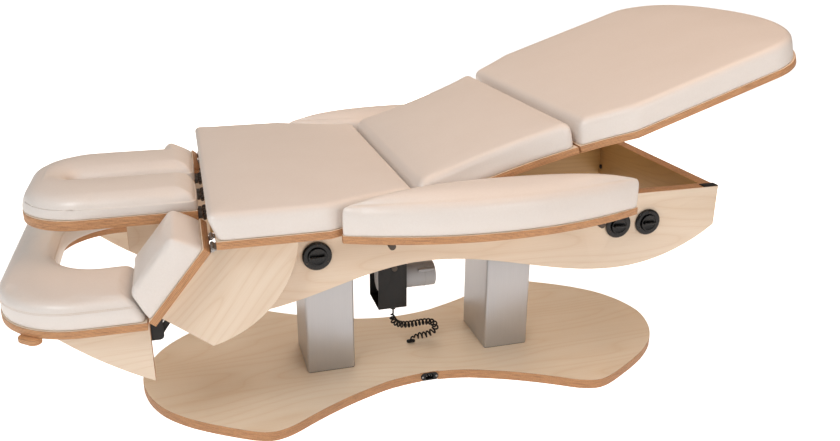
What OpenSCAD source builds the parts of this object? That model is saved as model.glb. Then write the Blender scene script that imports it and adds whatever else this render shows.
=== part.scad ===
// Height-adjustable treatment table: a plywood base with two lifting columns, an open plywood
// frame with curved sides, three upholstered sections, a face rest, a drop-down arm shelf and
// two armrests. Millimetres, Z up, X along the table with the foot end at +X, and the origin
// on the floor under the middle of the base. It is shown lowered, as it stands in use.

/* [Base] */
// Length of the base plate
base_len = 1560; // [1400:10:1700]
// Width of the base plate across its lobes
base_w = 692; // [600:2:760]
// How much shorter the base is at the head end than at the foot end
base_short = 17; // [0:1:30]
// Thickness of the base plate
base_t = 27; // [22:1:32]

/* [Lifting columns] */
// Place of the head-end column along the table
head_col_x = -254; // [-290:2:-230]
// Place of the foot-end column along the table
foot_col_x = 272; // [250:2:300]
// Size of the outer tube along the table
col_x = 135; // [125:1:145]
// Size of the outer tube across the table
col_y = 192; // [170:1:210]
// Wall of each column tube
col_wall = 3; // [2.5:0.5:3.5]
// Sliding gap between two column tubes, each side
col_gap = 0.5; // [0.3:0.1:0.6]
// Length of each outer tube
col_tube_h = 350; // [330:5:355]
// How far the top can be lifted
lift_stroke = 300; // [200:10:310]

/* [Frame] */
// Height of the frame's top edge
frame_top = 551; // [545:1:565]
// Width over the two side panels
frame_w = 614; // [590:2:640]
// Head end of the side panels
frame_head_x = -545; // [-546:1:-530]
// Foot end of the side panels
frame_foot_x = 781; // [760:1:800]
// Thickness of the frame panels
panel_t = 36; // [30:1:38]
// Height of the lower edge at the arch in the middle
arch_z = 425; // [418:1:430]
// Place of the arch along the table
arch_x = -45; // [-70:1:-20]
// Height of the lower edge at the foot-end lobe
foot_lobe_z = 345; // [335:1:360]
// Place of the foot-end lobe
foot_lobe_x = 490; // [460:5:520]
// Height of the lower edge at the head-end lobe
head_lobe_z = 337; // [330:1:360]
// Place of the head-end lobe
head_lobe_x = -515; // [-530:5:-490]
// Radius of the rise behind the foot-end lobe
foot_rise_r = 487; // [430:1:560]

/* [Sections] */
// How far the sections stand out past the frame on each side, at their widest
pad_over = 111; // [100:1:116]
// Thickness of the section boards
board_t = 18; // [15:1:20]
// Height of the cushions at their edges
foam_h = 63; // [55:1:68]
// How much a cushion's top swells above its edges
crown = 7; // [3:1:9]
// How much a cushion's sides are drawn in at the board
draw_in = 4; // [1:0.5:6]
// Rounding of the cushions' top edges
soft_r = 20; // [12:1:24]
// Head end of the chest section
chest_head_x = -548; // [-549:1:-540]
// Place of the hinge between the chest and middle sections
mid_hinge_x = -81; // [-90:1:-70]
// Length of the middle section, hinge to hinge
mid_len = 432; // [425:1:440]
// Length of the leg section
leg_len = 700; // [660:5:720]
// Length of the leg section's rounded end
leg_round = 179; // [140:1:220]
// Fullness of that end: 2 is an ellipse and more is squarer
leg_full = 2.35; // [2:0.05:3]
// Tilt of the raised sections
pad_tilt = 18.8; // [12:0.2:19]
// How far the leg section can rise above the middle one
leg_trim = 6; // [0:0.5:8]
// Place of the narrowest point of the waist
waist_x = 91; // [80:1:100]
// Half the length of the waist
waist_half = 391; // [380:1:400]
// How far the waist cuts into each side
waist_in = 88; // [70:1:95]

/* [Face rest] */
// Head end of the face rest
face_head_x = -975; // [-980:1:-960]
// Table end of the face rest
face_foot_x = -578; // [-590:1:-576]
// Width of the face rest
face_w = 416; // [390:2:420]
// Corner radius of the face rest
face_r = 140; // [120:2:160]
// Thickness of the face rest's board
face_board_t = 24; // [18:1:26]
// Underside of the face rest's board
face_z = 548; // [546:1:549]
// Height of the face rest's cushion at its edges
face_foam_h = 45; // [38:1:50]
// Width of the slot for the face
slot_w = 60; // [50:2:80]
// Head end of the slot
slot_head_x = -905; // [-915:1:-890]

/* [Arm boards and arm shelf] */
// How far the arm boards drop below level
arm_drop = 51; // [45:1:51]
// Length of the arm boards
arm_len = 203; // [198:1:205]
// Inner edges of the arm boards, from the middle of the table
arm_in = 217; // [216:1:250]
// Half width of the arm shelf
shelf_half = 415; // [400:1:418]
// Corner radius of the arm shelf
shelf_r = 190; // [160:5:210]
// Length of the arm shelf's board
shelf_len = 317; // [312:1:325]
// Free space between the face rest and the arm shelf round it
face_gap = 12; // [10:1:14]
// Free space between the face rest's end and the arm shelf when it is raised
face_end_gap = 56; // [40:1:60]
// Space between the frame and the side panels under the arm boards
wing_gap = 38; // [36:1:44]
// Thickness of the side panels under the arm boards
wing_t = 18; // [15:1:20]
// Radius of their curved edge
wing_r = 271; // [255:1:275]

/* [Armrests] */
// Width of the armrests where they are widest
rest_w = 168; // [140:2:190]
// Underside of the armrests' boards
rest_z = 543; // [541:1:546]
// Length of the armrests
rest_len = 736; // [700:4:750]
// Gap between an armrest and the waist
rest_gap = 10; // [8:1:14]
// Width of an armrest's cut-off ends
rest_tip = 14; // [10:1:20]
// How far an armrest pulls out
rest_travel = 120; // [60:10:130]
// Radius of the steel bars that carry the armrests
bar_r = 8; // [6:0.5:9]

/* [Knobs] */
// Place of the head-end knob along the table
knob_a_x = -317; // [-325:1:-310]
// Place of the first foot-end knob
knob_b_x = 483; // [470:1:485]
// Place of the second foot-end knob
knob_c_x = 571; // [560:1:580]
// Height of the knobs' centres
knob_z = 469; // [460:1:475]
// Radius of a knob's flange
knob_r = 35.6; // [30:0.2:38]
// Radius of a knob's dial
dial_r = 22; // [18:0.5:26]

/* [Drive] */
// Middle of the drive's bracket along the table
drive_x = -65.5; // [-70:0.5:-60]
// Length of the bracket along the table
drive_l = 83; // [76:1:90]
// Width of the bracket across the table
drive_w = 110; // [100:2:120]
// Underside of the bracket
drive_z = 176; // [170:1:185]
// Radius of the motor
motor_r = 36; // [32:1:38]
// Length of the motor
motor_l = 168; // [150:1:180]

/* [Mains inlet] */
// Width of the inlet's flange
inlet_w = 50; // [46:1:52]
// Height of the inlet's flange
inlet_h = 23; // [20:0.5:24]
// Distance between the inlet's two screws
inlet_pitch = 40; // [38:0.5:42]

/* [Curly cord] */
// Number of curls
curls = 23; // [12:1:30]
// Diameter of the cord
cord_d = 5; // [4:0.5:5.5]
// Radius from the middle of the curls to the middle of the cord
curl_r = 8; // [6:0.5:9]

/* [Hidden] */

wood = [0.93, 0.84, 0.69];
ply_edge = [0.80, 0.60, 0.42];
leather = [0.94, 0.89, 0.84];
metal = [0.72, 0.73, 0.74];
steel = [0.55, 0.55, 0.56];
black = [0.09, 0.09, 0.10];
over = 1;        // overrun of every cut
fit = 0.05;      // running fit of a pin in its bore, each side
slack = 0.4;     // free space beside a moving piece
seat = 0.3;      // space left round a soft piece
fine = 360;      // facets of the long arcs
round_n = 64;    // facets of a round piece

// ---- plan of the sections ----
pad_w = frame_w + 2 * pad_over;
pad_half = pad_w / 2;
wing_in = frame_w / 2 + wing_gap;
waist_r = (pow(waist_half, 2) + pow(waist_in, 2)) / (2 * waist_in);
waist_y = pad_half - waist_in + waist_r;
hinge_drop = 5;          // hinge axis below the boards it joins
hinge_z = frame_top - hinge_drop;
board_gap = 6;           // from a hinge axis to the end of each board at the tilting joint
leg_gap = 2;             // the same at the joint of the leg section
leg_arc_x = leg_len - leg_round;
pad_top = frame_top + board_t;

function half_w(x) = abs(x - waist_x) < waist_half
    ? waist_y - sqrt(pow(waist_r, 2) - pow(x - waist_x, 2)) : pad_half;
function leg_half(s) = s > leg_arc_x
    ? pad_half * pow(1 - pow(min(1, (s - leg_arc_x) / leg_round), leg_full), 1 / leg_full)
    : half_w(mid_hinge_x + mid_len + s);

module waist_cut() for (s = [-1, 1]) translate([waist_x, s * waist_y]) circle(waist_r, $fn = fine);
module pad_plan(x0, x1) difference() {
    translate([x0, -pad_half]) square([x1 - x0, pad_w]);
    waist_cut();
}
// ---- places of the moving parts ----
module at_mid() translate([mid_hinge_x, 0, hinge_z]) rotate([0, -pad_tilt, 0]) children();
module at_leg() at_mid() translate([mid_len, 0, 0]) children();

arm_axis_x = chest_head_x - 8;    // axis between chest board and arm boards
arm_axis_z = frame_top - 1;
arm_near = 6;                     // from that axis to the arm board
arm_lift = frame_top - arm_axis_z;
arm_end = arm_near + arm_len;     // far end of the arm board from its axis
knee_gap = 17.6;                  // from the knee's axis to the boards on both sides
knee_x = arm_end + knee_gap;      // axis between arm boards and shelf, along the arm
knee_drop = 16;                   // that axis below the boards
knee_z = knee_drop - arm_lift;
module at_arm() translate([arm_axis_x, 0, arm_axis_z]) rotate([0, -arm_drop, 0]) children();
knee_px = arm_axis_x - knee_x * cos(arm_drop) + knee_z * sin(arm_drop);
knee_pz = arm_axis_z - knee_x * sin(arm_drop) - knee_z * cos(arm_drop);
shelf_foot_x = knee_px - knee_gap;
shelf_head_x = shelf_foot_x - shelf_len;
shelf_z = knee_pz + knee_drop;
shelf_top = shelf_z + board_t;

// ---- cushions ----
// Each cushion is a loft: stations along it, each with its two edges in plan, its height and
// its crown. The section is drawn in at the board, upright, rounded over and crowned.
edge_shares = [[0.0, 0.0], [0.3, 0.7], [1.0, 1.0]];   // rounding: across and up, of soft_r
bulge_share = 0.35;                                   // height at which the side stands out most
crown_shares = [0.25, 0.5, 0.75];                     // places across the top
narrow_share = 0.42;                                  // most rounding, of a narrow cushion's width
function side_pts(h, r) = concat([[draw_in * r / soft_r, 0], [0, h * bulge_share]],
    [for (q = edge_shares) [r * q[0], h - r * (1 - q[1])]]);
function station(a, b, h, c) = let (w = norm(b - a), u = (b - a) / w,
    r = min(soft_r, narrow_share * w), s = side_pts(h, r)) concat(
    [for (q = s) [a[0] + u[0] * q[0], a[1] + u[1] * q[0], q[1]]],
    [for (v = crown_shares) let (d = r + (w - 2 * r) * v)
        [a[0] + u[0] * d, a[1] + u[1] * d, h + c * (1 - pow(2 * v - 1, 2))]],
    [for (i = [len(s) - 1:-1:0]) [b[0] - u[0] * s[i][0], b[1] - u[1] * s[i][0], s[i][1]]]);
function end_h(e, h) = e >= soft_r ? h : h - soft_r + sqrt(pow(soft_r, 2) - pow(soft_r - e, 2));
function end_crown(e) = crown * (1 - pow(1 - min(1, e / (4 * soft_r)), 2));
function end_in(e, r) = e >= r ? 0 : r - sqrt(pow(r, 2) - pow(r - e, 2));
end_shares = [0, 0.12, 0.45, 1];
function along(len, n) = concat([for (q = end_shares) soft_r * q],
    [for (i = [1:n - 1]) soft_r + (len - 2 * soft_r) * i / n],
    [for (i = [len(end_shares) - 1:-1:0]) len - soft_r * end_shares[i]]);
corner_r = 12;      // a cushion's corners in plan
module skin(rings) {
    n = len(rings[0]);
    m = len(rings);
    polyhedron([for (r = rings) each r], concat(
        [[for (i = [0:n - 1]) i]],
        [for (j = [0:m - 2]) for (i = [0:n - 1]) let (k = (i + 1) % n)
            [j * n + i, (j + 1) * n + i, (j + 1) * n + k]],
        [for (j = [0:m - 2]) for (i = [0:n - 1]) let (k = (i + 1) % n)
            [j * n + i, (j + 1) * n + k, j * n + k]],
        [[for (i = [n - 1:-1:0]) (m - 1) * n + i]]), convexity = 8);
}
// Leans a cushion's two ends: head and foot are the slopes, in tangents, at x0 and x1.
function lean(p, x0, x1, head, foot) = [p[0] + p[2] * (head * (x1 - p[0]) - foot * (p[0] - x0))
    / (x1 - x0), p[1], p[2]];
function raise(p, z) = [p[0], p[1], p[2] + z];

// ---- hinges: leaf and knuckles on an axis along Y ----
knuckle_r = 4.5;
pin_r = 2.2;
leaf_t = 2;
leaf_l = 34;
knuckles = 5;
// turn = 1 draws the first, third and fifth knuckle with the pin, and 0 draws the others.
module hinge_half(y0, y1, top, side, turn) {
    p = (y1 - y0) / knuckles;
    difference() {
        union() {
            translate([side > 0 ? knuckle_r + slack : -leaf_l, y0, top - leaf_t])
                cube([leaf_l - knuckle_r - slack, y1 - y0, leaf_t]);
            for (i = [0:knuckles - 1]) if (i % 2 == 1 - turn) {
                translate([0, y0 + p * i + slack / 2, 0]) rotate([-90, 0, 0])
                    cylinder(h = p - slack, r = knuckle_r, $fn = round_n);
                translate([side > 0 ? 0 : -knuckle_r - over, y0 + p * i + slack / 2, top - leaf_t])
                    cube([knuckle_r + over, p - slack, leaf_t]);
            }
        }
        if (turn == 0) translate([0, y0 - over, 0]) rotate([-90, 0, 0])
            cylinder(h = y1 - y0 + 2 * over, r = pin_r + fit, $fn = round_n);
    }
    if (turn == 1) translate([0, y0, 0]) rotate([-90, 0, 0])
        cylinder(h = y1 - y0, r = pin_r, $fn = round_n);
}
mid_hinge_w = 110;                // length of each of a joint's three hinges
mid_hinge_in = 31;                // from a side panel to the nearest hinge
mid_hinge_far = frame_w / 2 - panel_t - mid_hinge_in - mid_hinge_w;
mid_hinge_y = [-mid_hinge_far - mid_hinge_w, -mid_hinge_w / 2, mid_hinge_far];
face_hinge_y = [-190, -45, 100];
face_hinge_w = 90;
wing_hinge_w = [28, 44];          // the two hinges of an arm board, inside and outside its panel
wing_hinge_y = [wing_in - wing_hinge_w[0] - 5, wing_in + wing_t + 5];

// ================= base =================
base_shares = [[0, 0.52], [0.128, 0.555], [0.205, 0.612], [0.29, 0.69], [0.375, 0.785],
    [0.445, 0.875], [0.51, 0.962], [0.57, 1], [0.625, 0.972], [0.70, 0.88], [0.785, 0.76],
    [0.855, 0.64], [0.92, 0.49], [0.965, 0.32], [0.99, 0.155], [1, 0]];
function quarter(sx, sy, rev) = [for (i = [0:len(base_shares) - 1])
    let (q = base_shares[rev ? len(base_shares) - 1 - i : i])
    [sx * (q[0] * base_len / 2 - (sx < 0 ? base_short * pow(q[0], 3) : 0)),
        sy * q[1] * base_w / 2]];
function drop_last(v) = [for (i = [0:len(v) - 2]) v[i]];
base_loop = concat(drop_last(quarter(1, 1, false)), drop_last(quarter(1, -1, true)),
    drop_last(quarter(-1, -1, false)), drop_last(quarter(-1, 1, true)));
function smooth(v, n) = let (m = len(v)) [for (i = [0:m - 1]) for (k = [0:n - 1])
    let (t = k / n, a = v[(i + m - 1) % m], b = v[i], c = v[(i + 1) % m], d = v[(i + 2) % m])
    0.5 * (2 * b + (c - a) * t + (2 * a - 5 * b + 4 * c - d) * pow(t, 2)
        + (3 * b - a - 3 * c + d) * pow(t, 3))];
grommet_x = 6;
grommet_y = 4;
grommet_l = 26;
grommet_w = 17;
grommet_lip = 4;
cord_hole_r = cord_d / 2 + seat;
inlet_x = 8;
inlet_sink = 0.6;         // the plate's edge is cut flat this deep behind the flange
inlet_front = inlet_sink - base_w / 2 * base_shares[0][1];
inlet_body_w = 28;
inlet_body_h = 20;
inlet_depth = 32;
inlet_flange_t = 2.5;
inlet_well = 18;
edge_r = 2;
module oval(l, w) union() {
    square([l - w, w], center = true);
    for (s = [-1, 1]) translate([s * (l - w) / 2, 0]) circle(w / 2, $fn = round_n);
}
module base_plate() color(wood) difference() {
    linear_extrude(base_t) polygon(smooth(base_loop, 3));
    translate([grommet_x, grommet_y, grommet_lip]) linear_extrude(base_t)
        oval(grommet_l - 2 * grommet_lip, grommet_w - 2 * grommet_lip);
    translate([inlet_x - inlet_body_w / 2, inlet_front, (base_t - inlet_body_h) / 2])
        cube([inlet_body_w, inlet_depth, inlet_body_h]);
    translate([inlet_x - inlet_w / 2 - over, inlet_front - inlet_depth, -over])
        cube([inlet_w + 2 * over, inlet_depth, base_t + 2 * over]);
}
module inlet_housing() color(black) translate([inlet_x, inlet_front, base_t / 2]) difference() {
    union() {
        rotate([90, 0, 0]) linear_extrude(inlet_flange_t) oval(inlet_w, inlet_h);
        translate([-inlet_body_w / 2, 0, -inlet_body_h / 2])
            cube([inlet_body_w, inlet_depth, inlet_body_h]);
    }
    translate([-inlet_body_w / 2 + inlet_flange_t, -inlet_flange_t - over,
        -inlet_body_h / 2 + inlet_flange_t])
        cube([inlet_body_w - 2 * inlet_flange_t, inlet_well + over,
            inlet_body_h - 2 * inlet_flange_t]);
    for (s = [-1, 1]) translate([s * inlet_pitch / 2, over, 0]) rotate([90, 0, 0])
        cylinder(h = inlet_flange_t + 2 * over, r = screw_r, $fn = round_n);
}
screw_r = 1.6;
screw_head_r = 3;
screw_head_t = 1.4;
pin_w = 4;
pin_t = 2;
pin_l = 15;
pin_pitch = 7;
module inlet_metal() color(metal) translate([inlet_x, inlet_front, base_t / 2]) {
    for (s = [-1, 1]) translate([s * inlet_pitch / 2, 0, 0]) rotate([90, 0, 0]) {
        cylinder(h = inlet_flange_t, r = screw_r, $fn = round_n);
        translate([0, 0, inlet_flange_t]) cylinder(h = screw_head_t, r = screw_head_r, $fn = round_n);
    }
    for (i = [-1:1]) translate([i * pin_pitch - pin_t / 2,
        inlet_well - inlet_flange_t - pin_l, -pin_w / 2 + (i == 0 ? pin_w / 2 : 0)])
        cube([pin_t, pin_l, pin_w]);
}
module base_grommet() color(black) translate([grommet_x, grommet_y, 0]) difference() {
    union() {
        translate([0, 0, base_t]) linear_extrude(grommet_lip) oval(grommet_l, grommet_w);
        translate([0, 0, grommet_lip]) linear_extrude(base_t - grommet_lip)
            oval(grommet_l - 2 * grommet_lip, grommet_w - 2 * grommet_lip);
    }
    translate([0, 0, base_t]) cylinder(h = grommet_lip + over, r = cord_hole_r, $fn = round_n);
}

// ================= columns =================
seal_t = 2;
col_r = 8;
mid_x = col_x - 2 * (col_wall + col_gap);
mid_y = col_y - 2 * (col_wall + col_gap);
inn_x = mid_x - 2 * (col_wall + col_gap);
inn_y = mid_y - 2 * (col_wall + col_gap);
tube_foot = 14;                      // each tube stands this much above the foot of the last
mid_base = base_t + seal_t + tube_foot;     // foot of the middle tubes when lowered
inn_base = mid_base + tube_foot;            // foot of the inner tubes when lowered
mid_lip = 6;                         // the middle tube stands this far above the outer one
col_top = base_t + seal_t + col_tube_h;
head_t = 8;                          // steel head plate of a column
head_out = 30;                       // how far it reaches past the outer tube
bearer_drop = 101;
bearer_z = frame_top - bearer_drop;  // underside of the plywood bearers
bearer_t = 30;
bearer_l = 170;
module tube_plan(x, y, r) difference() {
    rounded(x, y, r);
    rounded(x - 2 * col_wall, y - 2 * col_wall, max(1, r - col_wall));
}
module rounded(x, y, r) union() {
    square([x - 2 * r, y], center = true);
    square([x, y - 2 * r], center = true);
    for (i = [-1, 1]) for (j = [-1, 1]) translate([i * (x / 2 - r), j * (y / 2 - r)])
        circle(r, $fn = round_n);
}
module outer_tube(x) translate([x, 0, base_t + seal_t]) linear_extrude(col_tube_h)
    tube_plan(col_x, col_y, col_r);
module head_column_outer() color(metal) outer_tube(head_col_x);
module foot_column_outer() color(metal) outer_tube(foot_col_x);
seal_in = 1.5;
module column_seals() color(black) for (x = [head_col_x, foot_col_x])
    translate([x, 0, base_t]) linear_extrude(seal_t)
        rounded(col_x - 2 * seal_in, col_y - 2 * seal_in, col_r - seal_in);
module column_middles() color(metal) for (x = [head_col_x, foot_col_x])
    translate([x, 0, mid_base]) linear_extrude(col_top + mid_lip - mid_base)
        tube_plan(mid_x, mid_y, col_r - col_wall - col_gap);
module inner_tube(x) translate([x, 0, 0]) {
    translate([0, 0, inn_base]) linear_extrude(bearer_z - head_t - inn_base)
        tube_plan(inn_x, inn_y, col_r - 2 * (col_wall + col_gap));
    translate([0, 0, bearer_z - head_t]) linear_extrude(head_t)
        rounded(col_x + head_out, col_y + head_out, col_r);
}
module head_column_inner() color(metal) inner_tube(head_col_x);
module foot_column_inner() color(metal) inner_tube(foot_col_x);

// ================= frame =================
side_n = 48;
function wave(x, x0, z0, x1, z1) = (z0 + z1) / 2 + (z0 - z1) / 2 * cos(180 * (x - x0) / (x1 - x0));
function side_z(x) = x > foot_lobe_x
    ? foot_lobe_z + foot_rise_r - sqrt(pow(foot_rise_r, 2) - pow(x - foot_lobe_x, 2))
    : x > arch_x ? wave(x, arch_x, arch_z, foot_lobe_x, foot_lobe_z)
    : x > head_lobe_x ? wave(x, arch_x, arch_z, head_lobe_x, head_lobe_z) : head_lobe_z;
side_in = frame_w / 2 - panel_t;
bush_r = 12.5;
bush_flange_r = 15;
bush_flange_t = 3;
bar_drop = 2;                                  // space between an armrest's board and its bars
bar_z = rest_z - bar_drop - bar_r;
bar_pitch = 522;                               // between an armrest's two bars
bar_x = [waist_x - bar_pitch / 2, waist_x + bar_pitch / 2];
knob_x = [knob_a_x, knob_b_x, knob_c_x];
spindle_r = 6;
module side_panel() difference() {
    rotate([90, 0, 0]) linear_extrude(panel_t) polygon(concat(
        [[frame_head_x, frame_top], [frame_foot_x, frame_top]],
        [for (i = [0:side_n]) let (x = frame_foot_x + (frame_head_x - frame_foot_x) * i / side_n)
            [x, side_z(x)]]));
    for (x = bar_x) translate([x, over, bar_z]) rotate([90, 0, 0])
        cylinder(h = panel_t + 2 * over, r = bush_r, $fn = round_n);
}
module near_side_panel() color(wood) difference() {
    translate([0, -side_in, 0]) side_panel();
    for (x = knob_x) translate([x, over - side_in, knob_z]) rotate([90, 0, 0])
        cylinder(h = panel_t + 2 * over, r = spindle_r + 1, $fn = round_n);
}
module far_side_panel() color(wood) translate([0, side_in + panel_t, 0]) side_panel();
head_panel_in = 40;
head_panel_x = frame_head_x + head_panel_in;
head_panel_z = 400;
foot_panel_z = side_z(frame_foot_x - panel_t) + 4;
module end_panels() color(wood) {
    translate([frame_foot_x - panel_t, -side_in, foot_panel_z])
        cube([panel_t, 2 * side_in, frame_top - foot_panel_z]);
    translate([head_panel_x, -side_in, head_panel_z])
        cube([panel_t, 2 * side_in, frame_top - head_panel_z]);
}
module bearers() color(wood) for (x = [head_col_x, foot_col_x])
    translate([x - bearer_l / 2, -side_in, bearer_z]) cube([bearer_l, 2 * side_in, bearer_t]);
rail_z = 436;
rail_t = 26;
module drive_rail() color(wood) translate([drive_x - drive_l / 2, -side_in, rail_z])
    cube([drive_l, 2 * side_in, rail_t]);
sheet_t = 3;
pivot_x = -60;
pivot_z = 300;
pivot_r = 6;
module drive_bracket() color(black) difference() {
    translate([drive_x - drive_l / 2, 0, 0]) rotate([90, 0, 90]) linear_extrude(drive_l)
        difference() {
            translate([-drive_w / 2, drive_z]) square([drive_w, rail_z - drive_z]);
            translate([-drive_w / 2 + sheet_t, drive_z + sheet_t])
                square([drive_w - 2 * sheet_t, rail_z - drive_z]);
        }
    translate([pivot_x, -drive_w / 2 - over, pivot_z]) rotate([-90, 0, 0])
        cylinder(h = drive_w + 2 * over, r = pivot_r + fit, $fn = round_n);
}
pivot_head = 4;
module drive_pivot() color(steel) translate([pivot_x, 0, pivot_z]) rotate([-90, 0, 0]) {
    translate([0, 0, -drive_w / 2]) cylinder(h = drive_w, r = pivot_r, $fn = round_n);
    for (s = [-1, 1]) translate([0, 0, s * (drive_w / 2 + pivot_head / 2) - pivot_head / 2])
        cylinder(h = pivot_head, r = pivot_r + pivot_head / 2, $fn = round_n);
}
gland_x = -62;
gland_y = -45;
gland_r = 7;
gland_h = 6;
module cord_gland() color(black) translate([gland_x, gland_y, drive_z - gland_h]) difference() {
    cylinder(h = gland_h, r = gland_r, $fn = round_n);
    translate([0, 0, -over]) cylinder(h = gland_h / 2 + over, r = cord_hole_r, $fn = round_n);
}
bumper_l = 36;
bumper_w = 14;
bumper_t = 3;
module corner_bumpers() color(black) for (s = [-1, 1])
    translate([frame_foot_x - bumper_l, s * (frame_w / 2 - bumper_w / 2) - bumper_w / 2, frame_top])
        cube([bumper_l, bumper_w, bumper_t]);
module armrest_bushings() color(black) for (s = [-1, 1]) for (x = bar_x)
    translate([x, s * side_in, bar_z]) rotate([s * -90, 0, 0]) difference() {
        union() {
            cylinder(h = panel_t, r = bush_r, $fn = round_n);
            translate([0, 0, panel_t])
                cylinder(h = bush_flange_t, r = bush_flange_r, $fn = round_n);
        }
        translate([0, 0, -over])
            cylinder(h = panel_t + bush_flange_t + 2 * over, r = bar_r + fit, $fn = round_n);
    }

// ================= knobs =================
flange_t = 9;
flange_step = 3;
dial_t = 13;
grip_w = 6;
grip_t = 6;
module knob_flanges() color(black) for (x = knob_x)
    translate([x, -frame_w / 2, knob_z]) rotate([90, 0, 0]) rotate_extrude($fn = round_n)
        polygon([[dial_r + slack, 0], [knob_r, 0], [knob_r, flange_t - flange_step],
            [knob_r - flange_step, flange_t], [dial_r + slack, flange_t]]);
module knob(x) translate([x, -frame_w / 2, knob_z]) rotate([90, 0, 0]) {
    translate([0, 0, slack]) rotate_extrude($fn = round_n)
        polygon([[0, 0], [dial_r, 0], [dial_r, dial_t - flange_step],
            [dial_r - flange_step, dial_t], [0, dial_t]]);
    translate([-dial_r * 0.8, -grip_w / 2, dial_t]) cube([dial_r * 1.6, grip_w, grip_t]);
    translate([0, 0, over - panel_t]) cylinder(h = panel_t, r = spindle_r, $fn = round_n);
}
module knob_a() color(black) knob(knob_a_x);
module knob_b() color(black) knob(knob_b_x);
module knob_c() color(black) knob(knob_c_x);

// ================= chest section =================
chest_foot_x = mid_hinge_x - board_gap;
chest_n = 9;
module chest_board() color(ply_edge) translate([0, 0, frame_top]) linear_extrude(board_t)
    pad_plan(chest_head_x, chest_foot_x);
chest_lean = 11;          // the head end of the chest pad leans out over its hinges, degrees
module chest_cushion() color(leather) {
    len = chest_foot_x - chest_head_x;
    skin([for (d = along(len, chest_n)) let (x = chest_head_x + d, e = min(d, len - d),
        w = half_w(x) - end_in(e, corner_r))
        [for (p = station([x, -w], [x, w], end_h(e, foam_h), end_crown(e)))
            raise(lean(p, chest_head_x, chest_foot_x, -tan(chest_lean), 0), pad_top)]]);
}
link_pin_r = 4;
link_drop = 36;           // the link's pivots lie this far below the hinge axes
link_gap = 15;            // from the wing panels' inner faces to the links
link_y = wing_in - link_gap;
link_t = 4;
stud_plate_t = 3;
module frame_hinges() color(steel) {
    for (y = mid_hinge_y) translate([mid_hinge_x, 0, hinge_z]) mirror([1, 0, 0])
        hinge_half(y, y + mid_hinge_w, hinge_drop, 1, 1);
    for (y = face_hinge_y) translate([face_axis_x, 0, face_axis_z])
        hinge_half(y, y + face_hinge_w, frame_top - face_axis_z, 1, 1);
    for (s = [0, 1]) mirror([0, s, 0]) {
        for (i = [0, 1]) translate([arm_axis_x, 0, arm_axis_z])
            hinge_half(wing_hinge_y[i], wing_hinge_y[i] + wing_hinge_w[i], arm_lift, 1, 1);
        translate([arm_axis_x, frame_w / 2, arm_axis_z - link_drop]) rotate([-90, 0, 0]) {
            translate([0, -plate_r, 0]) cube([leaf_l, 2 * plate_r, stud_plate_t]);
            cylinder(h = stud_plate_t, r = plate_r, $fn = round_n);
            cylinder(h = link_y + link_t + over - frame_w / 2, r = link_pin_r, $fn = round_n);
        }
    }
}
plate_r = 10;

// ================= armrests =================
rest_in_r = waist_r - rest_gap;
rest_out = pad_half - waist_in + rest_gap + rest_w;
rest_half = rest_len / 2;
function rest_inner(x) = waist_y - sqrt(pow(rest_in_r, 2) - pow(x, 2));
rest_tip_y = rest_inner(rest_half) + rest_tip;
rest_sag = rest_out - rest_tip_y;
rest_out_r = (pow(rest_half, 2) + pow(rest_sag, 2)) / (2 * rest_sag);
function rest_outer(x) = rest_out - rest_out_r + sqrt(pow(rest_out_r, 2) - pow(x, 2));
rest_foam_h = foam_h + 3;
rest_n = 14;
module armrest_board() translate([waist_x, 0, rest_z]) linear_extrude(board_t) intersection() {
    translate([-rest_half, 0]) square([rest_len, rest_out + over]);
    translate([0, rest_out - rest_out_r]) circle(rest_out_r, $fn = fine);
    difference() {
        translate([-rest_half, 0]) square([rest_len, rest_out + over]);
        translate([0, waist_y]) translate([0, 0]) mirror([0, 1]) difference() {
            translate([-rest_half - over, 0]) square([rest_len + 2 * over, waist_y + over]);
            circle(rest_in_r, $fn = fine);
        }
    }
}
module armrest_cushion() skin([for (d = along(rest_len, rest_n))
    let (x = d - rest_half, e = min(d, rest_len - d))
    [for (p = station([waist_x + x, rest_inner(x)], [waist_x + x, rest_outer(x)],
        end_h(e, rest_foam_h) - soft_r * rest_low_share * pow(x / rest_half, 2),
        end_crown(e) * rest_crown_share)) raise(p, rest_z + board_t)]]);
rest_low_share = 0.2;
rest_crown_share = 1.4;
bar_short = 52;       // from the outer edge of the armrest board to the bars' ends
bar_l = 344;
bar_out = rest_out - bar_short;
bar_in = bar_out - bar_l;
clamp_l = 40;
clamp_w = 30;
module armrest_bars() for (x = bar_x) {
    translate([x, bar_in, bar_z]) rotate([-90, 0, 0])
        cylinder(h = bar_out - bar_in, r = bar_r, $fn = round_n);
    for (y = [rest_inner(bar_x[1] - waist_x) + board_t, bar_out - clamp_l - board_t])
        translate([x - clamp_w / 2, y, bar_z]) cube([clamp_w, clamp_l, rest_z - bar_z]);
}
module near_armrest_board() color(ply_edge) mirror([0, 1, 0]) armrest_board();
module near_armrest_cushion() color(leather) mirror([0, 1, 0]) armrest_cushion();
module near_armrest_bars() color(steel) mirror([0, 1, 0]) armrest_bars();
module far_armrest_board() color(ply_edge) armrest_board();
module far_armrest_cushion() color(leather) armrest_cushion();
module far_armrest_bars() color(steel) armrest_bars();

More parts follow.
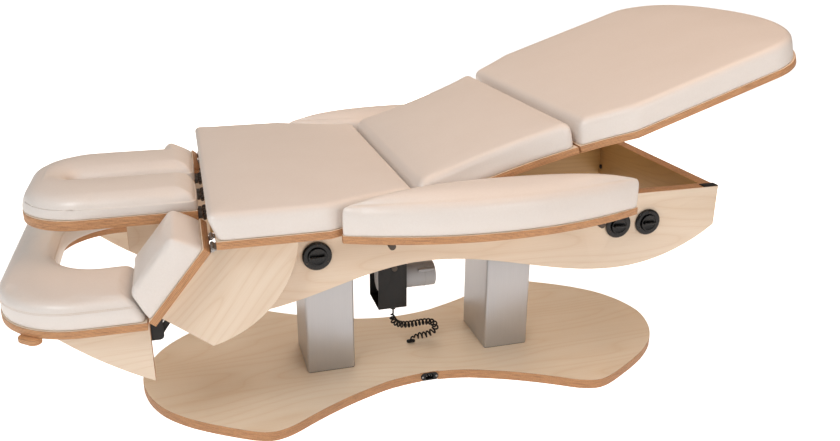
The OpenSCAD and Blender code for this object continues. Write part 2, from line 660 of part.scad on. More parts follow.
// ================= middle section =================
module middle_board() color(ply_edge) at_mid() translate([-mid_hinge_x, 0, hinge_drop])
    linear_extrude(board_t) pad_plan(mid_hinge_x + board_gap, mid_hinge_x + mid_len - leg_gap);
mid_n = 8;
module middle_cushion() color(leather) at_mid() {
    x0 = board_gap;
    x1 = mid_len - leg_gap;
    skin([for (d = along(x1 - x0, mid_n)) let (x = x0 + d, e = min(d, x1 - x0 - d),
        w = half_w(mid_hinge_x + x) - end_in(e, corner_r))
        [for (p = station([x, -w], [x, w], end_h(e, foam_h), end_crown(e)))
            raise(lean(p, x0, x1, tan(pad_tilt), 0),
                hinge_drop + board_t)]]);
}
leg_ease = 0.6;
module middle_hinges() color(steel) at_mid() {
    for (y = mid_hinge_y) mirror([1, 0, 0]) hinge_half(y, y + mid_hinge_w, hinge_drop, -1, 0);
    for (y = mid_hinge_y) translate([mid_len, 0, 0])
        hinge_half(y, y + mid_hinge_w, hinge_drop, -1, 1);
}
// The drive's rod takes hold of this clevis under the middle board.
clevis_s = 280;
clevis_drop = 30;
clevis_t = 6;
clevis_in = 12;
clevis_r = 14;
clevis_pin_r = 5;
module drive_clevis() color(steel) at_mid() translate([clevis_s, 0, 0]) {
    translate([-clevis_r * 2, -clevis_in - clevis_t * 2, hinge_drop - leaf_t])
        cube([clevis_r * 4, 2 * clevis_in + clevis_t * 4, leaf_t]);
    for (s = [-1, 1]) translate([0, s * (clevis_in + clevis_t / 2), 0]) rotate([90, 0, 0])
        translate([0, 0, -clevis_t / 2]) linear_extrude(clevis_t) union() {
            translate([0, -clevis_drop + hinge_drop]) circle(clevis_r, $fn = round_n);
            translate([-clevis_r, -clevis_drop + hinge_drop])
                square([2 * clevis_r, clevis_drop - leaf_t]);
        }
    translate([0, -clevis_in - clevis_t, -clevis_drop + hinge_drop]) rotate([-90, 0, 0])
        cylinder(h = 2 * (clevis_in + clevis_t), r = clevis_pin_r, $fn = round_n);
}

// ================= leg section =================
module leg_board() color(ply_edge) at_leg() translate([0, 0, hinge_drop])
    linear_extrude(board_t) union() {
        translate([-mid_hinge_x - mid_len, 0])
            pad_plan(mid_hinge_x + mid_len + leg_gap, mid_hinge_x + mid_len + leg_arc_x);
        translate([leg_arc_x, 0]) polygon(concat([[-over, -pad_half]],
            [for (a = [-90:3:90]) [leg_round * pow(cos(a), 2 / leg_full),
                sign(a) * pad_half * pow(abs(sin(a)), 2 / leg_full)]], [[-over, pad_half]]));
    }
leg_n = 7;
leg_end_n = 11;
leg_end_share = 0.985;
module leg_cushion() color(leather) at_leg() {
    x0 = leg_gap;
    xs = concat([for (q = end_shares) x0 + soft_r * q],
        [for (i = [1:leg_n]) x0 + soft_r + (leg_arc_x - x0 - soft_r) * i / leg_n],
        [for (i = [1:leg_end_n]) leg_arc_x + leg_round * leg_end_share
            * sin(90 * i / leg_end_n)]);
    x1 = xs[len(xs) - 1];
    skin([for (x = xs) let (d = x - x0, e = min(d, x1 - x), w = leg_half(x)
        - end_in(d, corner_r))
        [for (p = station([x, -w], [x, w], end_h(e, foam_h), end_crown(e)))
            raise(lean(p, x0, leg_len, tan(leg_trim + 2 * leg_ease), 0),
                hinge_drop + board_t)]]);
}
module leg_hinges() color(steel) at_leg()
    for (y = mid_hinge_y) hinge_half(y, y + mid_hinge_w, hinge_drop, 1, 0);

// ================= drive =================
rise_x = clevis_s * cos(pad_tilt) + (clevis_drop - hinge_drop) * sin(pad_tilt);
rise_z = clevis_s * sin(pad_tilt) - (clevis_drop - hinge_drop) * cos(pad_tilt);
rod_dx = mid_hinge_x + rise_x - pivot_x;
rod_dz = hinge_z + rise_z - pivot_z;
rod_len = norm([rod_dx, rod_dz]);
rod_angle = atan2(rod_dz, rod_dx);
housing_l = 260;      // from the pivot to the mouth of the drive's tube
housing_r = 21;
housing_w = 84;
rod_r = 10;
rod_eye_r = 13;
rod_eye_t = 20;
rod_slack = 1.8;      // the eye's play on the clevis pin
rod_in = 70;          // length of rod inside the tube when the section is raised
rod_well = 80;        // depth of the tube's bore beyond the rod's end
motor_z = 250;
motor_x0 = -98;
motor_cap = 10;
module at_drive() translate([pivot_x, 0, pivot_z]) rotate([0, -rod_angle, 0]) children();
module actuator_motor() color([0.80, 0.80, 0.79]) translate([motor_x0, 0, motor_z])
    rotate([0, 90, 0]) rotate_extrude($fn = round_n) polygon(concat(
        [[0, 0], [motor_r, 0]],
        [for (i = [0:4]) [motor_r - motor_cap * (1 - cos(90 * i / 4)),
            motor_l - motor_cap + motor_cap * sin(90 * i / 4)]],
        [[0, motor_l]]));
module actuator_housing() color(black) difference() {
    union() {
        translate([pivot_x, housing_w / 2, pivot_z]) rotate([90, 0, 0]) linear_extrude(housing_w)
            union() {
                circle(housing_r + 4, $fn = round_n);
                translate([-housing_r, -housing_r - 4]) square([2 * housing_r, housing_r + 4]);
            }
        at_drive() rotate([0, 90, 0]) cylinder(h = housing_l, r = housing_r, $fn = round_n);
    }
    translate([pivot_x, -housing_w, pivot_z]) rotate([-90, 0, 0])
        cylinder(h = 2 * housing_w, r = pivot_r + fit, $fn = round_n);
    at_drive() translate([housing_l - rod_in - rod_well, 0, 0]) rotate([0, 90, 0])
        cylinder(h = housing_l, r = rod_r + fit, $fn = round_n);
    translate([motor_x0 - over, 0, motor_z]) rotate([0, 90, 0])
        cylinder(h = motor_l + 2 * over, r = motor_r + fit, $fn = round_n);
}
module actuator_rod() color(metal) at_drive() difference() {
    union() {
        translate([housing_l - rod_in, 0, 0]) rotate([0, 90, 0])
            cylinder(h = rod_len - housing_l + rod_in - clevis_pin_r - rod_slack, r = rod_r,
                $fn = round_n);
        translate([rod_len, -rod_eye_t / 2, 0]) rotate([-90, 0, 0])
            cylinder(h = rod_eye_t, r = rod_eye_r, $fn = round_n);
    }
    translate([rod_len, -rod_eye_t, 0]) rotate([-90, 0, 0])
        cylinder(h = 2 * rod_eye_t, r = clevis_pin_r + rod_slack, $fn = round_n);
}

// ================= face rest =================
face_axis_x = (chest_head_x + face_foot_x) / 2;
face_axis_z = face_z - leaf_t;
face_half = face_w / 2;
slot_half = slot_w / 2;
// A U in plan: two straight sides and a rounded end towards -X.
module u_plan(foot, head, half, r) intersection() {
    translate([head, -half]) square([foot - head, 2 * half]);
    u_round(foot, head, half, r);
}
module u_round(foot, head, half, r) union() {
    translate([head + r, -half]) square([foot - head - r, 2 * half]);
    if (half > r) translate([head, -half + r]) square([r + over, 2 * (half - r)]);
    for (s = [-1, 1]) translate([head + r, s * (half - r)]) circle(r, $fn = fine / 2);
}
// Points round such a U: stage 0 is the near side, 1 the end and 2 the far side.
function u_pt(foot, head, half, r, stage, t) =
    stage == 0 ? [foot + (head + r - foot) * t, -half] :
    stage == 2 ? [head + r + (foot - head - r) * t, half] :
    let (arc = PI * r / 2, flat = 2 * (half - r), s = t * (2 * arc + flat))
    s < arc ? [head + r - r * sin(90 * s / arc), -half + r - r * cos(90 * s / arc)] :
    s <= arc + flat ? [head, -half + r + s - arc] :
    let (q = 90 * (s - arc - flat) / arc) [head + r - r * cos(q), half - r + r * sin(q)];
u_side_shares = [0, 0.03, 0.09, 0.2, 0.5, 1];
u_end_n = 12;
// A cushion along a U with an outer edge o and an inner edge i, each [foot, head, half, radius].
function u_path() = concat([for (q = u_side_shares) [0, q]],
    [for (k = [1:u_end_n - 1]) [1, k / u_end_n]],
    [for (k = [len(u_side_shares) - 1:-1:0]) [2, 1 - u_side_shares[k]]]);
function u_ring(o, i, q, h) = let (a = u_pt(o[0], o[1], o[2], o[3], q[0], q[1]),
    b = u_pt(i[0], i[1], i[2], i[3], q[0], q[1]),
    e = q[0] == 1 ? 4 * soft_r : o[0] - a[0])
    station(a, b, end_h(e, h), end_crown(e));
rib_y = 100;
rib_t = 18;
rib_head_x = -748;
rib_foot_gap = 24;
rib_foot_x = face_foot_x - rib_foot_gap;
rib_h = 104;
rib_r = 14;
module face_board() color(ply_edge) {
    translate([0, 0, face_z]) linear_extrude(face_board_t) difference() {
        u_plan(face_foot_x, face_head_x, face_half, face_r);
        u_plan(face_foot_x + over, slot_head_x, slot_half, slot_half);
    }
    for (s = [-1, 1]) translate([0, s * rib_y + rib_t / 2, 0]) rotate([90, 0, 0])
        linear_extrude(rib_t) union() {
            translate([rib_head_x, face_z - rib_h + rib_r])
                square([rib_foot_x - rib_head_x, rib_h - rib_r]);
            translate([rib_head_x + rib_r, face_z - rib_h])
                square([rib_foot_x - rib_head_x - rib_r, rib_r + over]);
            translate([rib_head_x + rib_r, face_z - rib_h + rib_r]) circle(rib_r, $fn = round_n);
        }
}
module face_cushion() color(leather) skin([for (q = u_path())
    [for (p = u_ring([face_foot_x, face_head_x, face_half, face_r],
        [face_foot_x, slot_head_x, slot_half, slot_half], q, face_foam_h))
        raise(p, face_z + face_board_t)]]);
module face_hinges() color(steel) translate([face_axis_x, 0, face_axis_z])
    for (y = face_hinge_y) hinge_half(y, y + face_hinge_w, face_z - face_axis_z, -1, 0);

// ================= arm boards =================
module both_sides() for (s = [0, 1]) mirror([0, s, 0]) children();
module arm_boards() color(ply_edge) at_arm() both_sides()
    translate([-arm_end, arm_in, arm_lift]) cube([arm_len, pad_half - arm_in, board_t]);
arm_n = 4;
arm_extra = 5;            // the arm pads are this much thicker than the others
arm_foam_h = foam_h + arm_extra;
arm_foam_x = knee_x - (knee_drop + board_t) * tan(arm_drop / 2) - 2;
module arm_cushions() color(leather) at_arm() both_sides() {
    len = arm_foam_x - arm_near;
    skin([for (d = along(len, arm_n)) let (x = -arm_foam_x + d, e = min(d, len - d),
        c = end_in(e, corner_r))
        [for (p = station([x, arm_in + c], [x, pad_half - c], end_h(e, arm_foam_h),
        end_crown(e)))
            raise(lean(p, -arm_foam_x, -arm_near, tan(arm_drop / 2), 0), arm_lift + board_t)]]);
}
wing_cx = -43.5;          // centre of the curved edge, from the arm axis, with the arm level
wing_cz = 66.4;
wing_clear = 3;           // space under the chest board
wing_notch = 12;          // cut out round the hinge
module wing_plan() intersection() {
    translate([wing_cx, wing_cz]) circle(wing_r, $fn = fine);
    translate([-arm_end, arm_lift - 2 * wing_r]) square([2 * wing_r, 2 * wing_r]);
    rotate(-arm_drop) difference() {
        translate([-2 * wing_r, -2 * wing_r]) square([4 * wing_r, 2 * wing_r - wing_clear]);
        circle(wing_notch, $fn = round_n);
    }
}
module wing_panels() color(wood) at_arm() both_sides()
    translate([0, wing_in + wing_t, 0]) rotate([90, 0, 0]) linear_extrude(wing_t) wing_plan();
plate_t = 3.2;
plate_gap = 0.3;
knee_pin_r = 5;
plate_l = 60;
module arm_hinges() color(steel) at_arm() both_sides() {
    for (i = [0, 1])
        hinge_half(wing_hinge_y[i], wing_hinge_y[i] + wing_hinge_w[i], arm_lift, -1, 0);
    difference() {
        union() {
            translate([-knee_x, wing_in - plate_gap - plate_t, -knee_z]) rotate([90, 0, 0])
                linear_extrude(plate_t) knee_plan();
            translate([-arm_end + 3, wing_in - plate_gap - plate_t - over, -knee_z - plate_r])
                cube([plate_l, plate_t + plate_gap + over, 2 * plate_r]);
        }
        translate([-knee_x, 0, -knee_z]) rotate([-90, 0, 0])
            cylinder(h = pad_half, r = knee_pin_r + fit, $fn = round_n);
    }
}
module knee_plan() union() {
    circle(plate_r, $fn = round_n);
    translate([0, -plate_r]) square([knee_x - arm_end + plate_l, 2 * plate_r]);
}

// ================= arm shelf =================
knee_level_x = arm_axis_x - knee_x;      // place of the knee's axis with the arms level
hole_head = face_head_x - face_end_gap - knee_level_x + knee_px;
hole_half = face_half + face_gap;
hole_r = face_r + face_gap;
module shelf_plan() difference() {
    u_plan(shelf_foot_x, shelf_head_x, shelf_half, shelf_r);
    u_plan(shelf_foot_x + over, hole_head, hole_half, hole_r);
}
module shelf_board() color(ply_edge) translate([0, 0, shelf_z]) linear_extrude(board_t)
    shelf_plan();
module shelf_cushion() color(leather) skin([for (q = u_path())
    [for (p = u_ring([shelf_foot_x, shelf_head_x, shelf_half, shelf_r],
        [shelf_foot_x, hole_head, hole_half, hole_r], q, foam_h))
        raise(lean(p, shelf_head_x, shelf_foot_x, 0, tan(arm_drop / 2)), shelf_top)]]);
gusset_h = 156;
gusset_l = 213;
gusset_r = 900;
gusset_chord = norm([gusset_l, gusset_h]);
gusset_far = sqrt(pow(gusset_r, 2) - pow(gusset_chord / 2, 2));
module gusset_plan() intersection() {
    translate([-gusset_l, -gusset_h]) square([gusset_l, gusset_h]);
    translate([-gusset_l / 2 + gusset_far * gusset_h / gusset_chord,
        -gusset_h / 2 + gusset_far * gusset_l / gusset_chord]) circle(gusset_r, $fn = 2 * fine);
}
module gusset_panels() color(wood) both_sides()
    translate([shelf_foot_x, wing_in + wing_t, shelf_z]) rotate([90, 0, 0])
        linear_extrude(wing_t) gusset_plan();
foot_l = 56;
foot_w = 30;
foot_t = 14;
module shelf_feet() color(ply_edge) both_sides()
    translate([shelf_foot_x - gusset_l - foot_l / 2, wing_in + foot_w, shelf_z - foot_t])
        rotate(40) linear_extrude(foot_t) oval(foot_l, foot_w);
module shelf_plates() color(black) both_sides() {
    difference() {
        translate([0, wing_in, 0]) rotate([90, 0, 0]) linear_extrude(plate_t) union() {
            translate([knee_px, knee_pz]) circle(plate_r, $fn = round_n);
            translate([knee_px, knee_pz - link_drop]) circle(plate_r, $fn = round_n);
            polygon([[knee_px + plate_r, knee_pz], [knee_px + plate_r, knee_pz - link_drop],
                [knee_px, knee_pz - link_drop - plate_r],
                [shelf_foot_x - plate_l, knee_pz - link_drop - plate_r],
                [shelf_foot_x - plate_l, shelf_z - slack], [shelf_foot_x, shelf_z - slack],
                [knee_px, knee_pz + plate_r]]);
        }
    }
    translate([knee_px, wing_in - 2 * plate_t - 2 * plate_gap, knee_pz]) rotate([-90, 0, 0])
        cylinder(h = 2 * plate_t + 2 * plate_gap, r = knee_pin_r, $fn = round_n);
    translate([knee_px, link_y - over, knee_pz - link_drop]) rotate([-90, 0, 0])
        cylinder(h = wing_in - link_y, r = link_pin_r, $fn = round_n);
}
link_w = 14;
link_play = 0.5;
module links() color(black) both_sides() translate([arm_axis_x, link_y + link_t,
    arm_axis_z - link_drop]) rotate([90, 0, 0]) linear_extrude(link_t) difference() {
        union() {
            circle(link_w / 2, $fn = round_n);
            rotate(atan2(knee_pz - arm_axis_z, knee_px - arm_axis_x)) {
                translate([0, -link_w / 2])
                    square([norm([knee_px - arm_axis_x, knee_pz - arm_axis_z]), link_w]);
                translate([norm([knee_px - arm_axis_x, knee_pz - arm_axis_z]), 0])
                    circle(link_w / 2, $fn = round_n);
            }
        }
        circle(link_pin_r + fit, $fn = round_n);
        translate([knee_px - arm_axis_x, knee_pz - arm_axis_z])
            circle(link_pin_r + link_play, $fn = round_n);
    }

// ================= curly cord =================
// Its route, from the gland under the bracket to the grommet in the base.
cord_route = [[-62, -45, 170], [-62, -45, 160], [-64, -43, 147], [-56, -37, 124],
    [-32, -27, 106], [4, -15, 97], [40, -4, 93], [69, 4, 85], [84, 8, 68], [78, 8, 52],
    [56, 6, 44], [34, 5, 43], [18, 4, 43], [8, 4, 41], [6, 4, 36], [6, 4, 31]];
cord_m = len(cord_route) - 1;
function route(u) = let (i = min(cord_m - 1, floor(u)), t = u - i, a = cord_route[max(0, i - 1)],
    b = cord_route[i], c = cord_route[i + 1], d = cord_route[min(cord_m, i + 2)])
    0.5 * (2 * b + (c - a) * t + (2 * a - 5 * b + 4 * c - d) * pow(t, 2)
        + (3 * b - a - 3 * c + d) * pow(t, 3));
route_n = 12;
cord_fine = [for (i = [0:cord_m * route_n]) route(i / route_n)];
function run(i) = i == 0 ? 0 : norm(cord_fine[i] - cord_fine[i - 1]);
cord_runs = [for (i = 0, s = 0; i <= cord_m * route_n; i = i + 1,
    s = s + (i <= cord_m * route_n ? run(i) : 0)) s];
cord_total = cord_runs[len(cord_runs) - 1];
function seek(s) = s <= 0 ? 0 : s >= cord_total ? cord_m * route_n
    : let (i = max([for (k = [0:len(cord_runs) - 1]) if (cord_runs[k] <= s) k]))
    i + (s - cord_runs[i]) / (cord_runs[min(i + 1, len(cord_runs) - 1)] - cord_runs[i]);
function on_route(s) = let (u = seek(s), i = min(floor(u), cord_m * route_n - 1))
    cord_fine[i] + (cord_fine[i + 1] - cord_fine[i]) * (u - i);
function unit(v) = v / norm(v);
function way(s) = unit(on_route(min(cord_total, s + cord_d)) - on_route(max(0, s - cord_d)));
curl_n = 8;
rings_n = curls * curl_n;
cord_lead = 2 * cord_d;             // straight ends
curl_grow = 2;                      // curls over which the curl opens at each end
function grow(k) = let (c = min(k, rings_n - k) / curl_n) min(1, c / curl_grow);
function cord_mid(k) = let (s = cord_lead + (cord_total - 2 * cord_lead) * k / rings_n,
    t = way(s), n = unit([0, 1, 0] - t[1] * t), b = cross(t, n), a = 360 * k / curl_n)
    on_route(s) + curl_r * grow(k) * (cos(a) * n + sin(a) * b);
cord_axis = concat([on_route(0), on_route(cord_lead / 2)],
    [for (k = [0:rings_n]) cord_mid(k)],
    [on_route(cord_total - cord_lead / 2), on_route(cord_total)]);
function ring_at(i) = let (n = len(cord_axis), p = cord_axis[i],
    t = i == 0 || i == n - 1 ? [0, 0, -1]
        : unit(cord_axis[min(n - 1, i + 1)] - cord_axis[max(0, i - 1)]),
    u = unit([0, 1, 0] - t[1] * t), v = cross(t, u))
    [for (j = [0:5]) p + cord_d / 2 * (cos(60 * j) * u + sin(60 * j) * v)];
module curly_cord() color(black) {
    skin([for (i = [0:len(cord_axis) - 1]) ring_at(i)]);
    echo(cord_length = cord_at[len(cord_at) - 1],
        least_gap = min([for (i = [0:len(cord_axis) - 1]) for (j = [i + 1:1:len(cord_axis) - 1])
            if (cord_at[j] - cord_at[i] > 4 * cord_d) norm(cord_axis[i] - cord_axis[j])]) - cord_d,
        lowest = min([for (p = cord_axis) p[2]]) - cord_d / 2);
}
// length of cord from its start to each point
cord_at = [for (i = 0, s = 0; i < len(cord_axis); i = i + 1,
    s = s + (i < len(cord_axis) ? norm(cord_axis[i] - cord_axis[i - 1]) : 0)) s];

base_plate();
head_column_outer();
foot_column_outer();
column_seals();
inlet_housing();
inlet_metal();
base_grommet();
column_middles();
head_column_inner();
foot_column_inner();
near_side_panel();
far_side_panel();
end_panels();
bearers();
drive_rail();
drive_bracket();
drive_pivot();
chest_board();
chest_cushion();
corner_bumpers();
knob_flanges();
armrest_bushings();
frame_hinges();
cord_gland();
knob_a();
knob_b();
knob_c();
near_armrest_board();
near_armrest_cushion();
near_armrest_bars();
far_armrest_board();
far_armrest_cushion();
far_armrest_bars();
middle_board();
middle_cushion();
middle_hinges();
drive_clevis();
leg_board();
leg_cushion();
leg_hinges();
actuator_motor();
actuator_housing();
actuator_rod();
face_board();
face_cushion();
face_hinges();
arm_boards();
arm_cushions();
wing_panels();
arm_hinges();
shelf_board();
shelf_cushion();
gusset_panels();
shelf_feet();
shelf_plates();
links();
curly_cord();
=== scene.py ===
# %% [markdown]
# # A height-adjustable treatment table
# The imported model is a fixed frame: solids with true sizes, in metres. This lesson dresses it.
# Soft pads are built fuller than their solids, hard parts get softened edges and veneer, and
# the script ends with a studio that looks at the table as the photograph does.

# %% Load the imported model
import math
import bmesh
import bpy
from mathutils import Matrix, Vector
from mathutils.kdtree import KDTree
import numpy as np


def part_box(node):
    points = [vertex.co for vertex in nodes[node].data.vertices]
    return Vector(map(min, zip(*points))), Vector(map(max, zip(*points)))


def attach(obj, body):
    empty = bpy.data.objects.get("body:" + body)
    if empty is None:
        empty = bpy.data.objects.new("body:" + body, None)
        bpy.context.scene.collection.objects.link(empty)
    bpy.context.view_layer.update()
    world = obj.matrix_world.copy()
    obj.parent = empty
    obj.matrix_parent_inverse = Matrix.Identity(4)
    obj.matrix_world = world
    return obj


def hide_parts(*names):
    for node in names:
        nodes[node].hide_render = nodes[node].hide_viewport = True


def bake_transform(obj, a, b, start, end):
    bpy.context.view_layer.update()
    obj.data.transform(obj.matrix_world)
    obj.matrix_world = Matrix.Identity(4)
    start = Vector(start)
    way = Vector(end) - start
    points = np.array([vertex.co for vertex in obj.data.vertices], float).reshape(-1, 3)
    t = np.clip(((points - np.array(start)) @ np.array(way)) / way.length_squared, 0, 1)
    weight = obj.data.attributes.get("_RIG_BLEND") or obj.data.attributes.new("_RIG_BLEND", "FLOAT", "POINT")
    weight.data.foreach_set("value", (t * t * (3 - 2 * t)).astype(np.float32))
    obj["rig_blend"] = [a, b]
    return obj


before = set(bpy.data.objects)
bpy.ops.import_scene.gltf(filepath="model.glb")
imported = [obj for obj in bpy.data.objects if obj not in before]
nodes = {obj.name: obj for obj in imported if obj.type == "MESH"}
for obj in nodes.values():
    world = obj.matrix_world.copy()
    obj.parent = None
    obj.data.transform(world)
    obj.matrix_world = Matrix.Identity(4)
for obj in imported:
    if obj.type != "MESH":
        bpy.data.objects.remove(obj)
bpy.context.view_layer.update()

# %% [markdown]
# %% [markdown]
# ## The camera
# It could be placed by eye. Here its place and its angles were worked out from corners of the
# table whose sizes are known, so they are typed in. It stands in front of the head end, a
# little above the table, and looks down by 20 degrees.

# %% Place the camera
def aim_camera(place, yaw, pitch, roll, lens):
    """Turned from +Y towards +X by yaw and downwards by pitch, in degrees."""
    yaw, pitch, roll = (math.radians(a) for a in (yaw, pitch, roll))
    ahead = Vector((math.sin(yaw) * math.cos(pitch), math.cos(yaw) * math.cos(pitch),
                    -math.sin(pitch)))
    right = Vector((math.cos(yaw), -math.sin(yaw), 0))
    down = ahead.cross(right)
    side = math.cos(roll) * right + math.sin(roll) * down
    below = math.cos(roll) * down - math.sin(roll) * right
    bpy.ops.object.camera_add(location=place)
    camera = bpy.context.object
    turn = Matrix((side, -below, -ahead)).transposed().to_4x4()
    camera.matrix_world = Matrix.Translation(place) @ turn
    camera.data.sensor_width, camera.data.lens = 36, lens
    bpy.context.scene.camera = camera
    print("camera", lens, "mm, looks down by", round(math.degrees(pitch)), "degrees")


aim_camera(place=(-0.589, -2.0553, 1.202), yaw=16.771, pitch=20.123, roll=-0.492, lens=34.27)

# %% [markdown]
# ## Tools for modelling
# Pieces are modelled as by hand: a primitive, edit mode, a modifier. An operator acts on
# everything that is selected, and the loaded solids are selected, so each step starts with a
# clean selection. A finished piece sits at the origin with its place in its mesh.

# %% Selection and finishing helpers
def only(piece):
    """Makes one piece the selected and active one."""
    bpy.ops.object.select_all(action="DESELECT")
    piece.select_set(True)
    bpy.context.view_layer.objects.active = piece
    return piece


def settle(piece):
    """Moves the object's place, turn and size into its mesh."""
    only(piece)
    bpy.ops.object.transform_apply(location=True, rotation=True, scale=True)


def pick_faces(piece, wanted):
    """Enters edit mode with the faces selected that are wanted, by their middle and normal."""
    only(piece)
    bpy.ops.object.mode_set(mode="EDIT")
    bpy.ops.mesh.select_mode(type="FACE")
    bpy.ops.mesh.select_all(action="DESELECT")
    mesh = bmesh.from_edit_mesh(piece.data)
    for face in mesh.faces:
        face.select = bool(wanted(face.calc_center_median(), face.normal))
    bmesh.update_edit_mesh(piece.data)


def leave_edit():
    bpy.ops.object.mode_set(mode="OBJECT")


def apply_modifier(piece, kind, **values):
    only(piece)
    modifier = piece.modifiers.new(kind.title(), kind)
    for name, value in values.items():
        setattr(modifier, name, value)
    bpy.ops.object.modifier_apply(modifier=modifier.name)


def smooth(piece, degrees=35):
    only(piece)
    bpy.ops.object.shade_smooth_by_angle(angle=math.radians(degrees))


def join(pieces, name):
    bpy.ops.object.select_all(action="DESELECT")
    for piece in pieces:
        piece.select_set(True)
    bpy.context.view_layer.objects.active = pieces[0]
    if len(pieces) > 1:
        bpy.ops.object.join()
    pieces[0].name = name
    return pieces[0]


def hand_over(piece, body, slot, *replaced):
    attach(piece, body)
    if replaced:
        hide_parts(*replaced)


def primitive(kind, name, **values):
    bpy.ops.object.select_all(action="DESELECT")
    getattr(bpy.ops.mesh, "primitive_" + kind + "_add")(**values)
    piece = bpy.context.object
    piece.name = name
    settle(piece)
    return piece


def piece_from(name, verts, faces, merge=None):
    """A piece from its points and faces, merged where asked, with its faces turned outwards."""
    mesh = bpy.data.meshes.new(name)
    mesh.from_pydata(verts, [], faces)
    piece = bpy.data.objects.new(name, mesh)
    bpy.context.scene.collection.objects.link(piece)
    only(piece)
    bpy.ops.object.mode_set(mode="EDIT")
    bpy.ops.mesh.select_all(action="SELECT")
    if merge:
        bpy.ops.mesh.remove_doubles(threshold=merge)
    bpy.ops.mesh.normals_make_consistent(inside=False)
    leave_edit()
    return piece


def copy_of(piece):
    """A copy with its own mesh."""
    made = piece.copy()
    made.data = piece.data.copy()
    bpy.context.scene.collection.objects.link(made)
    return made


# %% [markdown]
# ## Shader tools
# Node trees could be drawn in the editor. In code they can be repeated and read, so a few
# helpers add a node and either link or set each input. Every finish is a group that gives a
# colour, a roughness and a height, so that all of them are joined to a material in one way.
# %% Helpers for node trees
def srgb(r, g, b):
    """A colour as a screen shows it, in the linear values that shaders take."""
    return tuple((c / 255) ** 2.2 for c in (r, g, b)) + (1,)


def put(tree, kind, inputs=None, **settings):
    """Adds a node, and links or sets each input that is given."""
    made = tree.nodes.new(kind)
    for name, value in settings.items():
        setattr(made, name, value)
    for name, value in (inputs or {}).items():
        if isinstance(value, bpy.types.NodeSocket):
            tree.links.new(value, made.inputs[name])
        else:
            made.inputs[name].default_value = value
    return made


def maths(tree, operation, a, b=0.0, c=0.0):
    return put(tree, "ShaderNodeMath", {0: a, 1: b, 2: c}, operation=operation).outputs[0]


def noise(tree, where, scale, detail=2.0, roughness=0.5):
    """A smooth random pattern between 0 and 1."""
    return put(tree, "ShaderNodeTexNoise", {"Vector": where, "Scale": scale, "Detail": detail,
                                            "Roughness": roughness}).outputs["Fac"]


def stretched(tree, where, scale):
    return put(tree, "ShaderNodeMapping", {"Vector": where, "Scale": scale}).outputs[0]


def group(name, inputs):
    """A node group with the given inputs, and a colour, a roughness and a height as outputs."""
    tree = bpy.data.node_groups.new(name, "ShaderNodeTree")
    for label, kind, value in inputs:
        socket = tree.interface.new_socket(label, in_out="INPUT", socket_type="NodeSocket" + kind)
        if value is not None:
            socket.default_value = value
    for label, kind in (("Color", "Color"), ("Roughness", "Float"), ("Height", "Float")):
        tree.interface.new_socket(label, in_out="OUTPUT", socket_type="NodeSocket" + kind)
    return tree, tree.nodes.new("NodeGroupInput").outputs, tree.nodes.new("NodeGroupOutput").inputs


def send_out(tree, out, colour, roughness, height):
    for label, value in (("Color", colour), ("Roughness", roughness), ("Height", height)):
        tree.links.new(value, out[label])
    return tree


def mix(tree, factor, a, b, blend="MIX"):
    made = tree.nodes.new("ShaderNodeMix")
    made.data_type, made.blend_type = "RGBA", blend
    for socket, value in ((0, factor), (6, a), (7, b)):
        if isinstance(value, bpy.types.NodeSocket):
            tree.links.new(value, made.inputs[socket])
        else:
            made.inputs[socket].default_value = value
    return made.outputs[2]


def ramp(tree, value, stops):
    made = put(tree, "ShaderNodeValToRGB", {"Fac": value})
    points = made.color_ramp.elements
    while len(points) < len(stops):
        points.new(0.5)
    for point, (place, grey) in zip(points, stops):
        point.position = place
        point.color = (grey, grey, grey, 1)
    return made.outputs["Color"]


def material(name, **sockets):
    made = bpy.data.materials.new(name)
    made.use_nodes = True
    shader = made.node_tree.nodes["Principled BSDF"]
    for label, value in sockets.items():
        shader.inputs[label.replace("_", " ")].default_value = value
    return made, made.node_tree, shader


def object_coordinates(tree):
    return tree.nodes.new("ShaderNodeTexCoord").outputs["Object"]


# %% [markdown]
# ## Upholstery leather
# The covers are a smooth ivory leatherette: a pebble grain of about a millimetre, a broad,
# faint mottle, and a thin coat that gives a soft gloss. The grain is a bump and not a shape,
# because it is far finer than any mesh could be.

# %% Leather
def leather_group():
    tree, given, out = group("leather grain", [
        ("Light", "Color", (0.8, 0.7, 0.6, 1)), ("Deep", "Color", (0.6, 0.5, 0.4, 1)),
        ("Grain size", "Float", 850.0)])
    where = object_coordinates(tree)
    cells = put(tree, "ShaderNodeTexVoronoi", {"Vector": where, "Scale": given["Grain size"]},
                feature="SMOOTH_F1")
    fine, broad = noise(tree, where, 240.0, 3.0), noise(tree, where, 9.0)
    pores = maths(tree, "MULTIPLY", cells.outputs["Distance"], 0.6)
    height = maths(tree, "ADD", pores, maths(tree, "MULTIPLY", fine, 0.8))
    shade = maths(tree, "MULTIPLY_ADD", broad, 0.35, 0.05)
    shade = maths(tree, "ADD", shade, maths(tree, "MULTIPLY", fine, 0.4))
    return send_out(tree, out, mix(tree, shade, given["Light"], given["Deep"]),
                    maths(tree, "MULTIPLY_ADD", fine, 0.10, 0.27), height)


def finish_with(name, tree_group, values, bump, distance, **sockets):
    """A material whose colour, roughness and relief come from a group."""
    made, tree, shader = material(name, **sockets)
    effect = put(tree, "ShaderNodeGroup", node_tree=tree_group)
    for label, value in values.items():
        if isinstance(value, bpy.types.NodeSocket):
            tree.links.new(value, effect.inputs[label])
        else:
            effect.inputs[label].default_value = value
    tree.links.new(effect.outputs["Color"], shader.inputs["Base Color"])
    tree.links.new(effect.outputs["Roughness"], shader.inputs["Roughness"])
    relief = put(tree, "ShaderNodeBump", {"Height": effect.outputs["Height"], "Strength": bump,
                                          "Distance": distance})
    tree.links.new(relief.outputs["Normal"], shader.inputs["Normal"])
    return made, tree, effect


